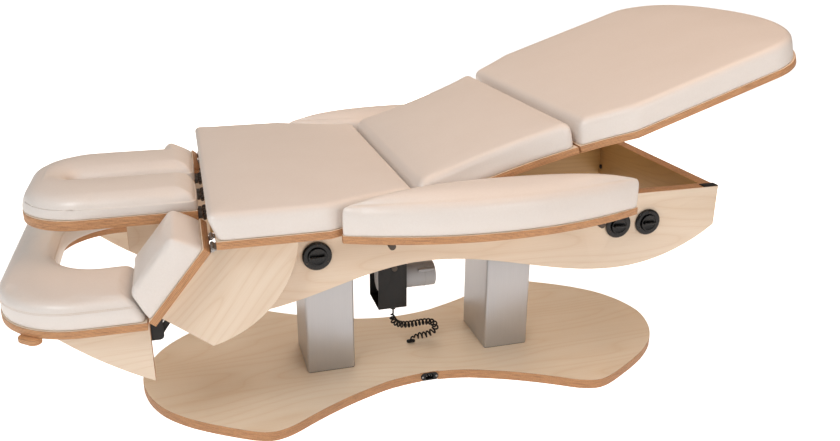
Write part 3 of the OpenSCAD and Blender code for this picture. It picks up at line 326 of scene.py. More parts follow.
leather, _, _ = finish_with(
    "ivory leather", leather_group(),
    {"Light": srgb(236, 230, 225), "Deep": srgb(222, 212, 204)},
    0.4, 0.0006, Specular_IOR_Level=0.5, Coat_Weight=0.08, Coat_Roughness=0.32)
print("made", leather.name)

# %% [markdown]
# ## Maple veneer and plywood edges
# The frame is birch plywood faced with pale maple. The face shows long flowing growth lines,
# and the cut edges show the plies as tan and brown stripes. A picture of wood would need an
# image file and would stretch, so both are patterns on Object coordinates, turned so that
# the grain runs along each panel.

# %% Veneer and plies
def veneer_group():
    tree, given, out = group("maple veneer", [
        ("Vector", "Vector", None), ("Light", "Color", (0.8, 0.7, 0.5, 1)),
        ("Line", "Color", (0.5, 0.35, 0.2, 1)), ("Contrast", "Float", 0.5)])
    where = given["Vector"]
    long = stretched(tree, where, (0.8, 4.2, 4.2))
    sway, broad = noise(tree, long, 1.3, 1.5, 0.35), noise(tree, long, 2.1)
    across = put(tree, "ShaderNodeSeparateXYZ", {"Vector": where}).outputs["Y"]
    rings = maths(tree, "MULTIPLY_ADD", sway, 17.0, maths(tree, "MULTIPLY", across, 11.0))
    wave = maths(tree, "MULTIPLY", maths(tree, "PINGPONG", rings, 0.5), 2.0)
    line = ramp(tree, wave, [(0.0, 0.7), (0.12, 0.34), (0.5, 0.1), (1.0, 0.0)])
    fibre = noise(tree, stretched(tree, where, (9.0, 420.0, 420.0)), 1.0, 3.0)
    amount = maths(tree, "ADD", maths(tree, "MULTIPLY", line, 0.42),
                   maths(tree, "MULTIPLY", fibre, 0.34))
    amount = maths(tree, "ADD", amount, maths(tree, "MULTIPLY_ADD", broad, 0.5, -0.2))
    amount = maths(tree, "MULTIPLY", amount, given["Contrast"])
    return send_out(tree, out, mix(tree, amount, given["Light"], given["Line"]),
                    maths(tree, "MULTIPLY_ADD", fibre, 0.16, 0.36), fibre)


def ply_group():
    tree, given, out = group("plywood edge", [
        ("Vector", "Vector", None), ("Light", "Color", (0.6, 0.4, 0.25, 1)),
        ("Dark", "Color", (0.3, 0.15, 0.08, 1)), ("Ply", "Float", 0.0032)])
    where = given["Vector"]
    upwards = put(tree, "ShaderNodeSeparateXYZ", {"Vector": where}).outputs["Z"]
    depth = maths(tree, "MULTIPLY_ADD", noise(tree, where, 14.0, 1.0), 0.0012, upwards)
    stripes = maths(tree, "PINGPONG", maths(tree, "DIVIDE", depth, given["Ply"]), 0.5)
    fibre = noise(tree, stretched(tree, where, (26.0, 26.0, 420.0)), 1.0, 4.0, 0.7)
    fleck = noise(tree, where, 330.0)
    band = maths(tree, "POWER", maths(tree, "MULTIPLY", stripes, 2.0), 1.6)
    amount = maths(tree, "ADD", maths(tree, "MULTIPLY", band, 0.72),
                   maths(tree, "MULTIPLY_ADD", fibre, 1.5, -0.72))
    amount = maths(tree, "ADD", amount, maths(tree, "MULTIPLY_ADD", fleck, 0.5, -0.3))
    return send_out(tree, out, mix(tree, amount, given["Light"], given["Dark"]),
                    maths(tree, "MULTIPLY_ADD", fibre, 0.2, 0.42), stripes)


veneer_tree, ply_tree = veneer_group(), ply_group()

# %% [markdown]
# One piece of wood has two finishes: the veneer on its faces and the plies on its edges. On a
# tilted or upright panel the coordinates are turned first, so that the grain still runs along
# the panel and the plies still stack across it. The faces that look into the frame get a darker,
# browner veneer of their own: painted shade, standing in for the shade inside the frame.

# %% Woods for every direction
quarter = math.pi / 2
pad_tilt_degrees, arm_drop_degrees = 18.8, 51
pad_tilt, arm_drop = math.radians(pad_tilt_degrees), math.radians(arm_drop_degrees)
upright, endways = (-quarter, 0, 0), (0, -quarter, -quarter)
# painted shade: the darker, browner tones of the veneer on the faces inside the frame
painted_shade_tones = {"light": srgb(174, 139, 90), "line": srgb(136, 103, 60)}


def turned(tree, rotations):
    where = object_coordinates(tree)
    for rotation in rotations:
        where = put(tree, "ShaderNodeMapping", {"Vector": where, "Rotation": rotation}).outputs[0]
    return where


def veneer(name, *rotations, light=srgb(236, 219, 199), line=srgb(206, 172, 136)):
    """Veneer whose grain runs along X once the coordinates are turned."""
    made, tree, effect = finish_with(
        name + " veneer", veneer_tree, {"Light": light, "Line": line, "Contrast": 0.85},
        0.12, 0.0004, Coat_Weight=0.12, Coat_Roughness=0.3)
    tree.links.new(turned(tree, rotations), effect.inputs["Vector"])
    return made


def plies(name, *rotations):
    """Plies that stack along Z once the coordinates are turned."""
    made, tree, effect = finish_with(
        name + " plies", ply_tree, {"Light": srgb(210, 156, 110), "Dark": srgb(98, 54, 30)},
        0.35, 0.0006, Coat_Weight=0.1, Coat_Roughness=0.35)
    tree.links.new(turned(tree, rotations), effect.inputs["Vector"])
    return made


def wood_pair(name, *rotations, **tones):
    return [veneer(name, *rotations, **tones), plies(name, *rotations)]


flat_wood = wood_pair("flat", (0, 0, 0))
# the base's veneer is paler than the other panels: painted light that makes up for the shade the frame casts
# on it
base_wood_painted_light = wood_pair("base", (0, 0, 0), light=srgb(253, 236, 212), line=srgb(226, 190, 148))
side_wood = wood_pair("side", upright)
end_wood = wood_pair("end", endways)
inner_side_painted_shade = veneer("inner side painted shade", upright, **painted_shade_tones)
inner_end_painted_shade = veneer("inner end painted shade", endways, **painted_shade_tones)
tilted_wood = wood_pair("tilted", (0, pad_tilt, 0))
dropped_wood = wood_pair("dropped", (0, arm_drop, 0))
dropped_side_wood = wood_pair("dropped side", (0, arm_drop, 0), upright)
print("finishes so far:", len(bpy.data.materials))

# %% [markdown]
# ## Metals, plastics and rubber
# The columns are brushed aluminium, the fittings steel, and the knobs, the bracket and the
# bumpers black plastic, painted sheet and rubber. Each could have a pattern of its own, but
# one group serves them all: a fine noise that breaks up the roughness and raises a slight
# texture. Stretched along Z, it is the brushing on the columns.

# %% Hard finishes
def texture_group():
    tree, given, out = group("fine texture", [
        ("Base", "Color", (0.5, 0.5, 0.5, 1)), ("Stretch", "Vector", (1, 1, 1)),
        ("Roughness", "Float", 0.4), ("Spread", "Float", 0.1), ("Tone", "Float", 0.1)])
    where = put(tree, "ShaderNodeVectorMath", {0: object_coordinates(tree), 1: given["Stretch"]},
                operation="MULTIPLY").outputs[0]
    speckle, cloud = noise(tree, where, 600.0, 3.0), noise(tree, where, 12.0)
    both = maths(tree, "ADD", maths(tree, "MULTIPLY", speckle, 0.6),
                 maths(tree, "MULTIPLY", cloud, 0.4))
    darker = mix(tree, 1.0, given["Base"], (0.55, 0.55, 0.55, 1), "MULTIPLY")
    tone = maths(tree, "MULTIPLY", maths(tree, "MULTIPLY", both, 2.0), given["Tone"])
    roughness = maths(tree, "MULTIPLY_ADD", maths(tree, "SUBTRACT", both, 0.5), given["Spread"],
                      given["Roughness"])
    return send_out(tree, out, mix(tree, tone, given["Base"], darker), roughness, speckle)


texture_tree = texture_group()


def hard(name, colour, roughness, metallic=0.0, stretch=(1, 1, 1), spread=0.2, tone=0.2, bump=0.1):
    return finish_with(
        name, texture_tree, {"Base": colour, "Stretch": stretch, "Roughness": roughness,
                             "Spread": spread, "Tone": tone}, bump, 0.0003, Metallic=metallic)[0]


aluminium = hard("brushed aluminium", srgb(200, 201, 204), 0.4, 0.85, (1, 1, 0.02),
                 spread=0.12, tone=0.12, bump=0.04)
steel = hard("bright steel", srgb(170, 168, 166), 0.3, 1.0)
dark_steel = hard("dark bronzed steel", srgb(92, 84, 78), 0.38, 0.9)
black_plastic = hard("black plastic", srgb(10, 10, 12), 0.27)
black_metal = hard("black painted sheet", srgb(17, 16, 17), 0.5, bump=0.2)
rubber = hard("black rubber", srgb(12, 12, 13), 0.6, bump=0.25)
motor_grey = hard("light grey paint", srgb(186, 188, 192), 0.42)
print("finishes in all:", len(bpy.data.materials))

# %% [markdown]
# ## Rounded copies of the hard parts
# The solids have razor-sharp edges, which no sanded board or deburred metal has. The parts
# could be modelled again, but a copy keeps their true shape: its loose triangles are merged
# into flat faces, and a small bevel lets the edges catch the light. A panel's two faces get
# veneer, and everything else on it shows the plies.

# %% Soften the edges
def softened(node, body, slot, finishes, width, across=None, segments=2):
    """A solid's copy with bevelled edges; faces across the panel get the first finish."""
    piece = copy_of(nodes[node])
    for key in list(piece.keys()):
        del piece[key]
    piece.parent, piece.name = None, node + "_finish"
    piece.hide_render = piece.hide_viewport = False
    only(piece)
    bpy.ops.object.mode_set(mode="EDIT")
    bpy.ops.mesh.select_all(action="SELECT")
    bpy.ops.mesh.remove_doubles(threshold=0.000005)
    bpy.ops.mesh.dissolve_limited(angle_limit=math.radians(0.1))
    leave_edit()
    apply_modifier(piece, "BEVEL", width=width, segments=segments, limit_method="ANGLE",
                   angle_limit=math.radians(28), harden_normals=False)
    smooth(piece)
    piece.data.materials.clear()
    for finish in finishes:
        piece.data.materials.append(finish)
    if len(finishes) > 1:
        across = Vector(across)
        for face in piece.data.polygons:
            face.material_index = 0 if abs(face.normal.dot(across)) > 0.9 else 1
    hand_over(piece, body, slot, node)
    return piece


X, Y, Z = (1, 0, 0), (0, 1, 0), (0, 0, 1)
tilted_up = (-math.sin(pad_tilt), 0, math.cos(pad_tilt))
dropped_up = (-math.sin(arm_drop), 0, math.cos(arm_drop))
board_bevel, foot_bevel, metal_bevel = 0.0015, 0.004, 0.0004
panels = [
    ("base_plate", "base", base_wood_painted_light, Z, "ply"),
    ("near_side_panel", "frame", side_wood, Y, "ply"),
    ("far_side_panel", "frame", side_wood, Y, "ply"),
    ("end_panels", "frame", end_wood, X, "ply"),
    ("bearers", "frame", flat_wood, Z, "ply"),
    ("drive_rail", "frame", flat_wood, Z, "ply"),
    ("chest_board", "frame", flat_wood, Z, "ply_edge"),
    ("middle_board", "middle_section", tilted_wood, tilted_up, "ply_edge"),
    ("leg_board", "leg_section", tilted_wood, tilted_up, "ply_edge"),
    ("arm_boards", "arms", dropped_wood, dropped_up, "ply_edge"),
    ("wing_panels", "arms", dropped_side_wood, Y, "ply"),
    ("shelf_board", "arm_shelf", flat_wood, Z, "ply_edge"),
    ("gusset_panels", "arm_shelf", side_wood, Y, "ply"),
    ("near_armrest_board", "near_armrest", flat_wood, Z, "ply_edge"),
    ("far_armrest_board", "far_armrest", flat_wood, Z, "ply_edge")]
panel_of = {}
for node, body, woods, across, slot in panels:
    panel_of[node] = softened(node, body, slot, woods, board_bevel, across, 3)
softened("shelf_feet", "arm_shelf", "ply_edge", [flat_wood[1]], foot_bevel, None, 4)
print(len(panels), "panels and the shelf's feet")

# %% [markdown]
# Two panels need more than veneer and plies. The frame's panels get the browner veneer on the
# inside, painted shade for the shade that falls in the frame: their inner faces are the ones
# that look towards a point in the middle of the frame. The face rest's board has two upright
# ribs below it, whose grain must run along the rib, so the faces below the board get the
# finishes of the side panels.

# %% Painted shade on the inner faces, and ribs
frame_middle = Vector((0.11, 0, 0))
# the faces inside the frame get the painted shade veneer
for node, inner in (("near_side_panel", inner_side_painted_shade), ("far_side_panel", inner_side_painted_shade),
                    ("end_panels", inner_end_painted_shade)):
    panel = panel_of[node]
    panel.data.materials.append(inner)
    for face in panel.data.polygons:
        if face.material_index == 0 and face.normal.dot(frame_middle - face.center) > 0:
            face.material_index = 2

face_board = softened("face_board", "face_rest", "ply_edge", flat_wood, board_bevel, Z, 3)
face_board_underside = 0.5475
for finish in side_wood:
    face_board.data.materials.append(finish)
for face in face_board.data.polygons:
    if face.center.z < face_board_underside:
        face.material_index = 2 if abs(face.normal.y) > 0.9 else 3

# %% [markdown]
# ## Metal and plastic parts
# Columns, hinges, bars and housings are sheet and bar with edges that are just broken. They
# are softened in the same way as the boards, with much narrower bevels.

# %% Columns, fittings and housings
metal_parts = [
    ("head_column_outer", "base", "column", aluminium),
    ("foot_column_outer", "base", "column", aluminium),
    ("column_middles", "column_stage", "column", aluminium),
    ("column_seals", "base", "rubber", rubber),
    ("head_column_inner", "frame", "column", aluminium),
    ("foot_column_inner", "frame", "column", aluminium),
    ("inlet_housing", "base", "black_plastic", black_plastic),
    ("inlet_metal", "base", "bright_metal", steel),
    ("base_grommet", "base", "black_plastic", black_plastic),
    ("cord_gland", "frame", "black_plastic", black_plastic),
    ("drive_bracket", "frame", "black_metal", black_metal),
    ("drive_pivot", "frame", "fittings", dark_steel),
    ("armrest_bushings", "frame", "black_plastic", black_plastic),
    ("frame_hinges", "frame", "fittings", steel),
    ("near_armrest_bars", "near_armrest", "fittings", dark_steel),
    ("far_armrest_bars", "far_armrest", "fittings", dark_steel),
    ("middle_hinges", "middle_section", "fittings", steel),
    ("drive_clevis", "middle_section", "fittings", steel),
    ("leg_hinges", "leg_section", "fittings", steel),
    ("face_hinges", "face_rest", "fittings", dark_steel),
    ("arm_hinges", "arms", "fittings", steel),
    ("actuator_housing", "drive_tube", "black_plastic", black_plastic),
    ("actuator_rod", "drive_rod", "bright_metal", steel),
    ("shelf_plates", "arm_shelf", "black_metal", black_metal),
    ("links", "links", "black_metal", black_metal)]
for node, body, slot, finish in metal_parts:
    softened(node, body, slot, [finish], metal_bevel)
print(len(metal_parts), "metal and plastic parts")

leaves = bpy.data.objects["frame_hinges_finish"]
leaves.data.materials.append(dark_steel)
head_end, face_rest_half = -0.5, 0.25
for face in leaves.data.polygons:      # the hinges of the face rest are bronzed
    face.material_index = int(face.center.x < head_end and abs(face.center.y) < face_rest_half)
# %% [markdown]
# ## Knobs
# Three black knobs sit on the near side: a flange screwed to the panel, and a dial with a
# raised grip across it. A lathe would make the real one, so each dial starts as a cylinder.
# Its face is inset and sunk, every second face of its rim is pressed in as a rib, and a
# rounded bar is laid across it.

# %% Model the dials
softened("knob_flanges", "frame", "black_plastic", [black_plastic], 0.0012, None, 3)
dial_front, dial_back = -0.3204, -0.3074


def model_dial(name, box):
    """A ribbed dial with a grip bar, in the box of its solid."""
    low, high = box
    middle = (low + high) / 2
    radius = (high.x - low.x) / 2
    dial = primitive("cylinder", name, vertices=80, radius=radius, depth=dial_back - dial_front,
                     location=(middle.x, (dial_front + dial_back) / 2, middle.z),
                     rotation=(quarter, 0, 0))
    pick_faces(dial, lambda c, n: n.y < -0.9)
    bpy.ops.mesh.inset(thickness=0.0028)
    bpy.ops.mesh.extrude_region_move(TRANSFORM_OT_translate={"value": (0, 0.0022, 0)})
    leave_edit()
    seen = [0]

    def rib(c, n):
        """Every second face of the rim."""
        sideways = abs(n.y) < 0.2
        seen[0] += sideways and c.y > dial_front
        outside = math.hypot(c.x - middle.x, c.z - middle.z) > radius * 0.98
        return sideways and outside and seen[0] % 2

    pick_faces(dial, rib)
    bpy.ops.mesh.inset(thickness=0.00025, use_individual=True)
    bpy.ops.transform.shrink_fatten(value=-0.0004)
    leave_edit()
    apply_modifier(dial, "BEVEL", width=0.0004, segments=2, limit_method="ANGLE")
    grip = primitive("cube", "grip", size=1, location=(middle.x, dial_front - 0.002, middle.z),
                     scale=(radius * 1.5, 0.0085, 0.0052))
    apply_modifier(grip, "BEVEL", width=0.0016, segments=4)
    dial = join([dial, grip], name)
    smooth(dial)
    dial.data.materials.append(black_plastic)
    return dial


for letter in "abc":
    node = "knob_" + letter
    dial = model_dial(node + "_dial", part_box(node))
    hand_over(dial, node, "black_plastic", node)
    print(dial.name, len(dial.data.polygons), "faces")

# %% [markdown]
# ## Motor and corner bumpers
# The drive's motor is a light grey can with a rounded, slightly sunk cap, a bead where its
# halves meet and a rib along its side. Its solid is a plain cylinder, so the can is modelled
# anew to the same size, with a torus for the bead and a rounded cube for the rib.

# %% Model the motor
def model_motor():
    low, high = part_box("actuator_motor")
    middle = (low + high) / 2
    radius, length = (high.z - low.z) / 2, high.x - low.x
    can = primitive("cylinder", "motor_can", vertices=96, radius=radius, depth=length,
                    location=middle, rotation=(0, quarter, 0))
    pick_faces(can, lambda c, n: n.x > 0.9)
    bpy.ops.mesh.inset(thickness=0.011)
    bpy.ops.transform.translate(value=(0.001, 0, 0))
    bpy.ops.mesh.inset(thickness=0.006)
    bpy.ops.mesh.extrude_region_move(TRANSFORM_OT_translate={"value": (-0.0015, 0, 0)})
    leave_edit()
    apply_modifier(can, "BEVEL", width=0.009, segments=6, limit_method="ANGLE",
                   angle_limit=math.radians(50))
    seam = primitive("torus", "seam", major_segments=96, minor_segments=10, major_radius=radius,
                     minor_radius=0.0012, location=(high.x - 0.03, middle.y, middle.z),
                     rotation=(0, quarter, 0))
    rib = primitive("cube", "rib", size=1, location=(high.x - 0.028, low.y + 0.008, high.z - 0.012),
                    scale=(0.05, 0.014, 0.008))
    apply_modifier(rib, "BEVEL", width=0.003, segments=4)
    motor = join([can, seam, rib], "drive_motor")
    smooth(motor)
    motor.data.materials.append(motor_grey)
    hand_over(motor, "drive_tube", "motor", "actuator_motor")


    print("motor", round(length * 1000), "mm long")


model_motor()

# %% [markdown]
# A rubber block on each corner of the foot end keeps the leg section off the frame. Rubber has
# no sharp edge, so each one is a cube with a fine round bevel.

# %% Model the bumpers
def model_bumpers(length=0.044, width=0.024):
    low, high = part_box("corner_bumpers")
    pieces = []
    for side in (-1, 1):
        place = (high.x - length / 2, side * (high.y - width / 2), (low.z + high.z) / 2)
        block = primitive("cube", "bumper", size=1, location=place,
                          scale=(length, width, high.z - low.z))
        apply_modifier(block, "BEVEL", width=0.0012, segments=4)
        pieces.append(block)
    bumpers = join(pieces, "rubber_bumpers")
    smooth(bumpers)
    bumpers.data.materials.append(rubber)
    hand_over(bumpers, "frame", "rubber", "corner_bumpers")


model_bumpers()

# %% [markdown]
# ## The coiled cord
# A black spiral lead drops from the gland under the bracket, swings out to the side and dives
# into the grommet in the base. It was moulded to its curls and keeps them, so a simulation
# would add nothing: it is one sweep along a smooth route, with a helix wound round it whose
# radius grows over the first two turns and shrinks over the last two.

# %% Wind the cord along its route
route = [Vector(p) / 1000 for p in (
    (-62, -45, 170), (-62, -45, 160), (-64, -43, 147), (-56, -37, 124), (-32, -27, 106),
    (4, -15, 97), (40, -4, 93), (69, 4, 85), (84, 8, 68), (78, 8, 52), (56, 6, 44), (34, 5, 43),
    (18, 4, 43), (8, 4, 41), (6, 4, 36), (6, 4, 31))]      # in millimetres
cord_d, curls, curl_r, lead = 0.005, 23, 0.008, 0.010


def smooth_route(points, steps):
    """A curve through all the points, with so many steps between each two."""
    out = []
    for i in range(len(points) - 1):
        a, b, c, d = (points[min(max(k, 0), len(points) - 1)] for k in (i - 1, i, i + 1, i + 2))
        for j in range(steps):
            t = j / steps
            out.append(0.5 * (2 * b + (c - a) * t + (2 * a - 5 * b + 4 * c - d) * t ** 2
                              + (3 * b - a - 3 * c + d) * t ** 3))
    return out + [points[-1]]


def walker(points):
    """Gives the point at any distance along a line, and the line's length."""
    runs = [0.0]
    for a, b in zip(points, points[1:]):
        runs.append(runs[-1] + (b - a).length)

    def at(s):
        s = min(max(s, 0), runs[-1])
        i = max(k for k in range(len(runs) - 1) if runs[k] <= s)
        return points[i].lerp(points[i + 1], (s - runs[i]) / (runs[i + 1] - runs[i]))
    return at, runs[-1]


def length_of(line):
    return sum((b - a).length for a, b in zip(line, line[1:]))


def wind_cord(per_turn=16):
    """The cord's middle line: a straight lead, the curls, and a straight lead."""
    at, total = walker(smooth_route(route, 12))
    line = [at(0), at(lead / 2)]
    for k in range(curls * per_turn + 1):
        s = lead + (total - 2 * lead) * k / (curls * per_turn)
        ahead = (at(s + cord_d) - at(s - cord_d)).normalized()
        side = (Vector((0, 1, 0)) - ahead.y * ahead).normalized()
        up = ahead.cross(side)
        opened = min(1, min(k, curls * per_turn - k) / per_turn / 2)
        turn = math.tau * k / per_turn
        line.append(at(s) + curl_r * opened * (math.cos(turn) * side + math.sin(turn) * up))
    return line + [at(total - lead / 2), at(total)]


cord_line = wind_cord()
cord_length = length_of(cord_line)
print("cord length", round(cord_length, 4))
curve = bpy.data.curves.new("coiled_cord", "CURVE")
curve.dimensions, curve.bevel_depth, curve.bevel_resolution = "3D", cord_d / 2, 3
curve.use_fill_caps = True
spline = curve.splines.new("POLY")
spline.points.add(len(cord_line) - 1)
for point, place in zip(spline.points, cord_line):
    point.co = (*place, 1)
coil = bpy.data.objects.new("coiled_cord", curve)
bpy.context.scene.collection.objects.link(coil)
curve.materials.append(rubber)
only(coil)
bpy.ops.object.convert(target="MESH")
coil = bpy.context.object
smooth(coil)

# %% [markdown]
# One end of the cord stays in the base and the other rises with the frame. The lift could be
# shared out along the straight line between the ends, but the cord swings far out to one side
# of it, and its curls would shear. So each point takes its share from its place along the
# cord, which a search tree finds on the middle line, and every curl opens a little.

# %% Let the curls open as the table rises
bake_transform(coil, "base", "frame", cord_line[-1], cord_line[0])
middle_line = KDTree(len(cord_line))
for i, place in enumerate(cord_line):
    middle_line.insert(place, i)
middle_line.balance()
straight_end = 2      # this many points at each end stay with the gland or the grommet
for vertex, follow in zip(coil.data.vertices, coil.data.attributes["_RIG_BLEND"].data):
    nearest = middle_line.find(vertex.co)[1]
    along = (nearest - straight_end) / (len(cord_line) - 1 - 2 * straight_end)
    follow.value = 1 - min(max(along, 0), 1)
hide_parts("curly_cord")
[tuple(p) for p in cord_line]

# %% [markdown]
# ## How a pad is made
# Every pad is foam under a tight cover. In section it is tucked in at the board, stands a
# little proud at a third of its height, and rolls over into a gently crowned top. A bevelled
# block can't do that on a curved outline. The same section runs round every outline, so one
# function makes all pads: it offsets the outline inwards row by row. An outline is given as
# four runs that meet at its corners.

# %% Outlines as four runs
def cut_line(line, start, end):
    """The part of a polyline between two distances along it."""
    at, total = walker([Vector((*p, 0)) for p in line])
    runs, out = 0.0, [at(start).to_2d()]
    for a, b in zip(line, line[1:]):
        runs += (b - a).length
        if start + 1e-5 < runs < total - end - 1e-5:
            out.append(b.copy())
    return out + [at(total - end).to_2d()]


def even(line, count):
    """A line cut into steps of one length."""
    at, total = walker([Vector((*p, 0)) for p in line])
    return [at(total * i / count).to_2d() for i in range(count + 1)]


def shift(line, distance):
    """A run moved to its left by a distance, point by point."""
    out = []
    for i, p in enumerate(line):
        way = (line[min(i + 1, len(line) - 1)] - line[max(i - 1, 0)]).normalized()
        out.append(p + distance * Vector((-way.y, way.x)))
    return out


def ring_maker(runs, counts, corner, smallest=0.003, bend=0.2):
    """Gives rings of the outline, inset by any distance; runs go round anticlockwise."""
    ways = [((r[1] - r[0]).normalized(), (r[-1] - r[-2]).normalized()) for r in runs]
    turns = [ways[i - 1][1].angle_signed(ways[i][0]) * -1 for i in range(4)]

    def ring(inset):
        radius = max(corner - 0.45 * inset, smallest)      # corners tighten inwards
        cuts = [(inset + radius) * math.tan(turn / 2) if turn > bend else 0 for turn in turns]
        moved = [shift(cut_line(runs[i], cuts[i], cuts[(i + 1) % 4]), inset) for i in range(4)]
        out = []
        for i in range(4):
            before, after = i - 1, (i + 1) % 4
            parts = list(moved[i])
            if cuts[i]:
                parts = bend_corner(moved[before][-1], ways[before][1],
                                    moved[i][0], ways[i][0], True) + parts
            if cuts[after]:
                parts = parts + bend_corner(moved[i][-1], ways[i][1],
                                            moved[after][0], ways[after][0], False)
            out.append(even(parts, counts[i % 2]))
        return out
    return ring


def bend_corner(a, way_a, b, way_b, second_half, steps=6):
    """Half of the rounded corner between two cut runs."""
    reach = (b - a).length * 0.39
    p, q = a + way_a * reach, b - way_b * reach
    line = []
    for k in range(2 * steps + 1):
        t = k / (2 * steps)
        line.append((1 - t) ** 3 * a + 3 * t * (1 - t) ** 2 * p + 3 * t * t * (1 - t) * q
                    + t ** 3 * b)
    return line[steps:-1] if second_half else line[1:steps + 1]


# %% [markdown]
# The rings are stacked into the side of the pad, and a grid stretched between the four runs
# closes the bottom and the crowned top. A grid bends and shades better than a fan of long
# triangles, and the cover's simulation needs faces of about one size. A last step leans the
# ends, because cushions that meet at a tilt lean towards each other.

# %% The padded solid itself
def coons(ring, across, along):
    """A grid of points stretched between four runs."""
    a, b, c, d = ring
    c, d = c[::-1], d[::-1]
    grid = []
    for j in range(along + 1):
        v, row = j / along, []
        for i in range(across + 1):
            u = i / across
            edges = (1 - v) * a[i] + v * c[i] + (1 - u) * d[j] + u * b[j]
            corners = ((1 - u) * (1 - v) * a[0] + u * (1 - v) * a[-1]
                       + (1 - u) * v * c[0] + u * v * c[-1])
            row.append(edges - corners)
        grid.append(row)
    return grid


def pad_section(height, soft=0.020, tuck=0.004):
    """Rows of inset and height, from the tucked foot up to the rolled edge of the top."""
    rows = [(tuck, 0), (tuck * 0.55, 0.0025), (tuck * 0.25, height * 0.14), (0, height * 0.35),
            (0, height * 0.5), (0.0002, height - soft)]
    for degrees in (18, 34, 50, 66, 80, 90):
        a = math.radians(degrees)
        rows.append((soft * (1 - math.cos(a)), height - soft * (1 - math.sin(a))))
    return rows


def model_pad(name, ring, counts, height, crown, section=None, slack=0.001, reshape=None):
    """A closed pad: rings of the outline up its side, a flat foot and a crowned top."""
    across, along = counts
    rows = section or pad_section(height)
    verts, rings = [], []
    for inset, z in rows:
        loop = [p for run in ring(inset + slack) for p in run[:-1]]
        rings.append(range(len(verts), len(verts) + len(loop)))
        verts += [(p.x, p.y, z) for p in loop]
    faces = []
    size = len(rings[0])
    for low, high in zip(rings, rings[1:]):
        faces += [(low[k], low[(k + 1) % size], high[(k + 1) % size], high[k]) for k in range(size)]

    def close(edge, inset, z, swell, flip):
        grid, ids = coons(ring(inset + slack), across, along), []
        border = list(edge)
        for j in range(along + 1):
            row = []
            for i in range(across + 1):
                if j == 0:
                    row.append(border[i])
                elif i == across:
                    row.append(border[across + j])
                elif j == along:
                    row.append(border[(2 * across + along - i) % size])
                elif i == 0:
                    row.append(border[(2 * across + 2 * along - j) % size])
                else:
                    u, v = i / across, j / along
                    rise = swell * (1 - (2 * u - 1) ** 4) * (1 - (2 * v - 1) ** 2)
                    verts.append((grid[j][i].x, grid[j][i].y, z + rise))
                    row.append(len(verts) - 1)
            ids.append(row)
        for j in range(along):
            for i in range(across):
                quad = (ids[j][i], ids[j][i + 1], ids[j + 1][i + 1], ids[j + 1][i])
                faces.append(quad[::-1] if flip else quad)

    close(rings[0], rows[0][0], rows[0][1], 0, True)
    close(rings[-1], rows[-1][0], rows[-1][1], crown, False)
    if reshape:
        verts = [reshape(Vector(p)) for p in verts]
    return piece_from(name, verts, faces, merge=0.00002)


# %% [markdown]
# ## Inflating the covers
# Real covers are pulled over foam that pushes back. A sculpted bulge would be a guess, so a
# short cloth simulation without gravity does it: air pressure lifts the cover, its foot is
# held to the board, and no point may move more than a cap of about two millimetres, so that
# the pads keep clear of each other.

# %% Cloth under pressure
def inflate(pad, cap, frames=14, held_below=0.006):
    """Blows the cover up for a few frames, and keeps each point's move within the cap."""
    start = [v.co.copy() for v in pad.data.vertices]
    held = pad.vertex_groups.new(name="held")
    held.add([v.index for v in pad.data.vertices if v.co.z < held_below], 1.0, "REPLACE")
    only(pad)
    bpy.ops.object.modifier_add(type="CLOTH")
    cloth = pad.modifiers["Cloth"]
    cloth.settings.quality = 4
    cloth.settings.mass = 0.2
    cloth.settings.tension_stiffness = cloth.settings.compression_stiffness = 12
    cloth.settings.shear_stiffness, cloth.settings.bending_stiffness = 6, 0.6
    cloth.settings.use_pressure, cloth.settings.uniform_pressure_force = True, 4
    cloth.settings.vertex_group_mass = "held"
    cloth.settings.effector_weights.gravity = 0
    cloth.collision_settings.use_collision = False
    cloth.point_cache.frame_start, cloth.point_cache.frame_end = 1, frames
    scene = bpy.context.scene
    for frame_number in range(1, frames + 1):
        scene.frame_set(frame_number)
    only(pad)
    bpy.ops.object.modifier_apply(modifier="Cloth")
    scene.frame_set(1)
    most = 0
    for vertex, place in zip(pad.data.vertices, start):
        step = vertex.co - place
        most = max(most, step.length)
        vertex.co = place + step * (cap / max(step.length, cap))
    pad.vertex_groups.clear()
    print(pad.name, "moved up to", round(most * 1000, 1), "mm, kept within", cap * 1000)


# %% [markdown]
# A pad is made flat at the origin and then put in place: its ends are leaned, it is raised to
# the top of its board and turned with it.

# %% Put a pad in place
def slope(degrees):
    return math.tan(math.radians(degrees))


def lean_ends(x0, x1, head, foot):
    """Moves the ends at x0 and x1 sideways with height, by the slopes head and foot."""
    def leaned(p):
        lean = (head * (x1 - p.x) - foot * (p.x - x0)) / (x1 - x0)
        return Vector((p.x + p.z * lean, p.y, p.z))
    return leaned


def place_pad(pad, origin, degrees, height):
    """Raises a pad to a height above its hinge line and turns it about that line."""
    turn = Matrix.Rotation(-math.radians(degrees), 4, "Y")
    pad.data.transform(Matrix.Translation(origin) @ turn @ Matrix.Translation((0, 0, height)))
    pad.data.update()


def finish_pad(pad, body, *replaced):
    apply_modifier(pad, "SUBSURF", levels=1, render_levels=1)
    only(pad)
    bpy.ops.object.shade_smooth()
    pad.data.materials.append(leather)
    hand_over(pad, body, "upholstery", *replaced)
    print(pad.name, len(pad.data.vertices), "points")


# %% [markdown]
# ## The table's own pads
# Chest, middle and leg pads share one outline, drawn in at the waist by two large arcs so that
# the armrests fit into it. The three could be cut from one long pad, but they lie at different
# tilts, so each gets its own length of the outline. The ends that meet lean towards each
# other, which closes the gap between them to a thin crease.

# %% Chest and middle pads
pad_height, table_crown, table_corner, table_cap = 0.063, 0.007, 0.014, 0.0022
half_width, waist_x, waist_half, waist_in = 0.418, 0.091, 0.391, 0.088
waist_r = (waist_half ** 2 + waist_in ** 2) / (2 * waist_in)
waist_y = half_width - waist_in + waist_r


def half_at(x):
    """Half the table's width at a place along it."""
    if abs(x - waist_x) < waist_half:
        return waist_y - math.sqrt(waist_r ** 2 - (x - waist_x) ** 2)
    return half_width


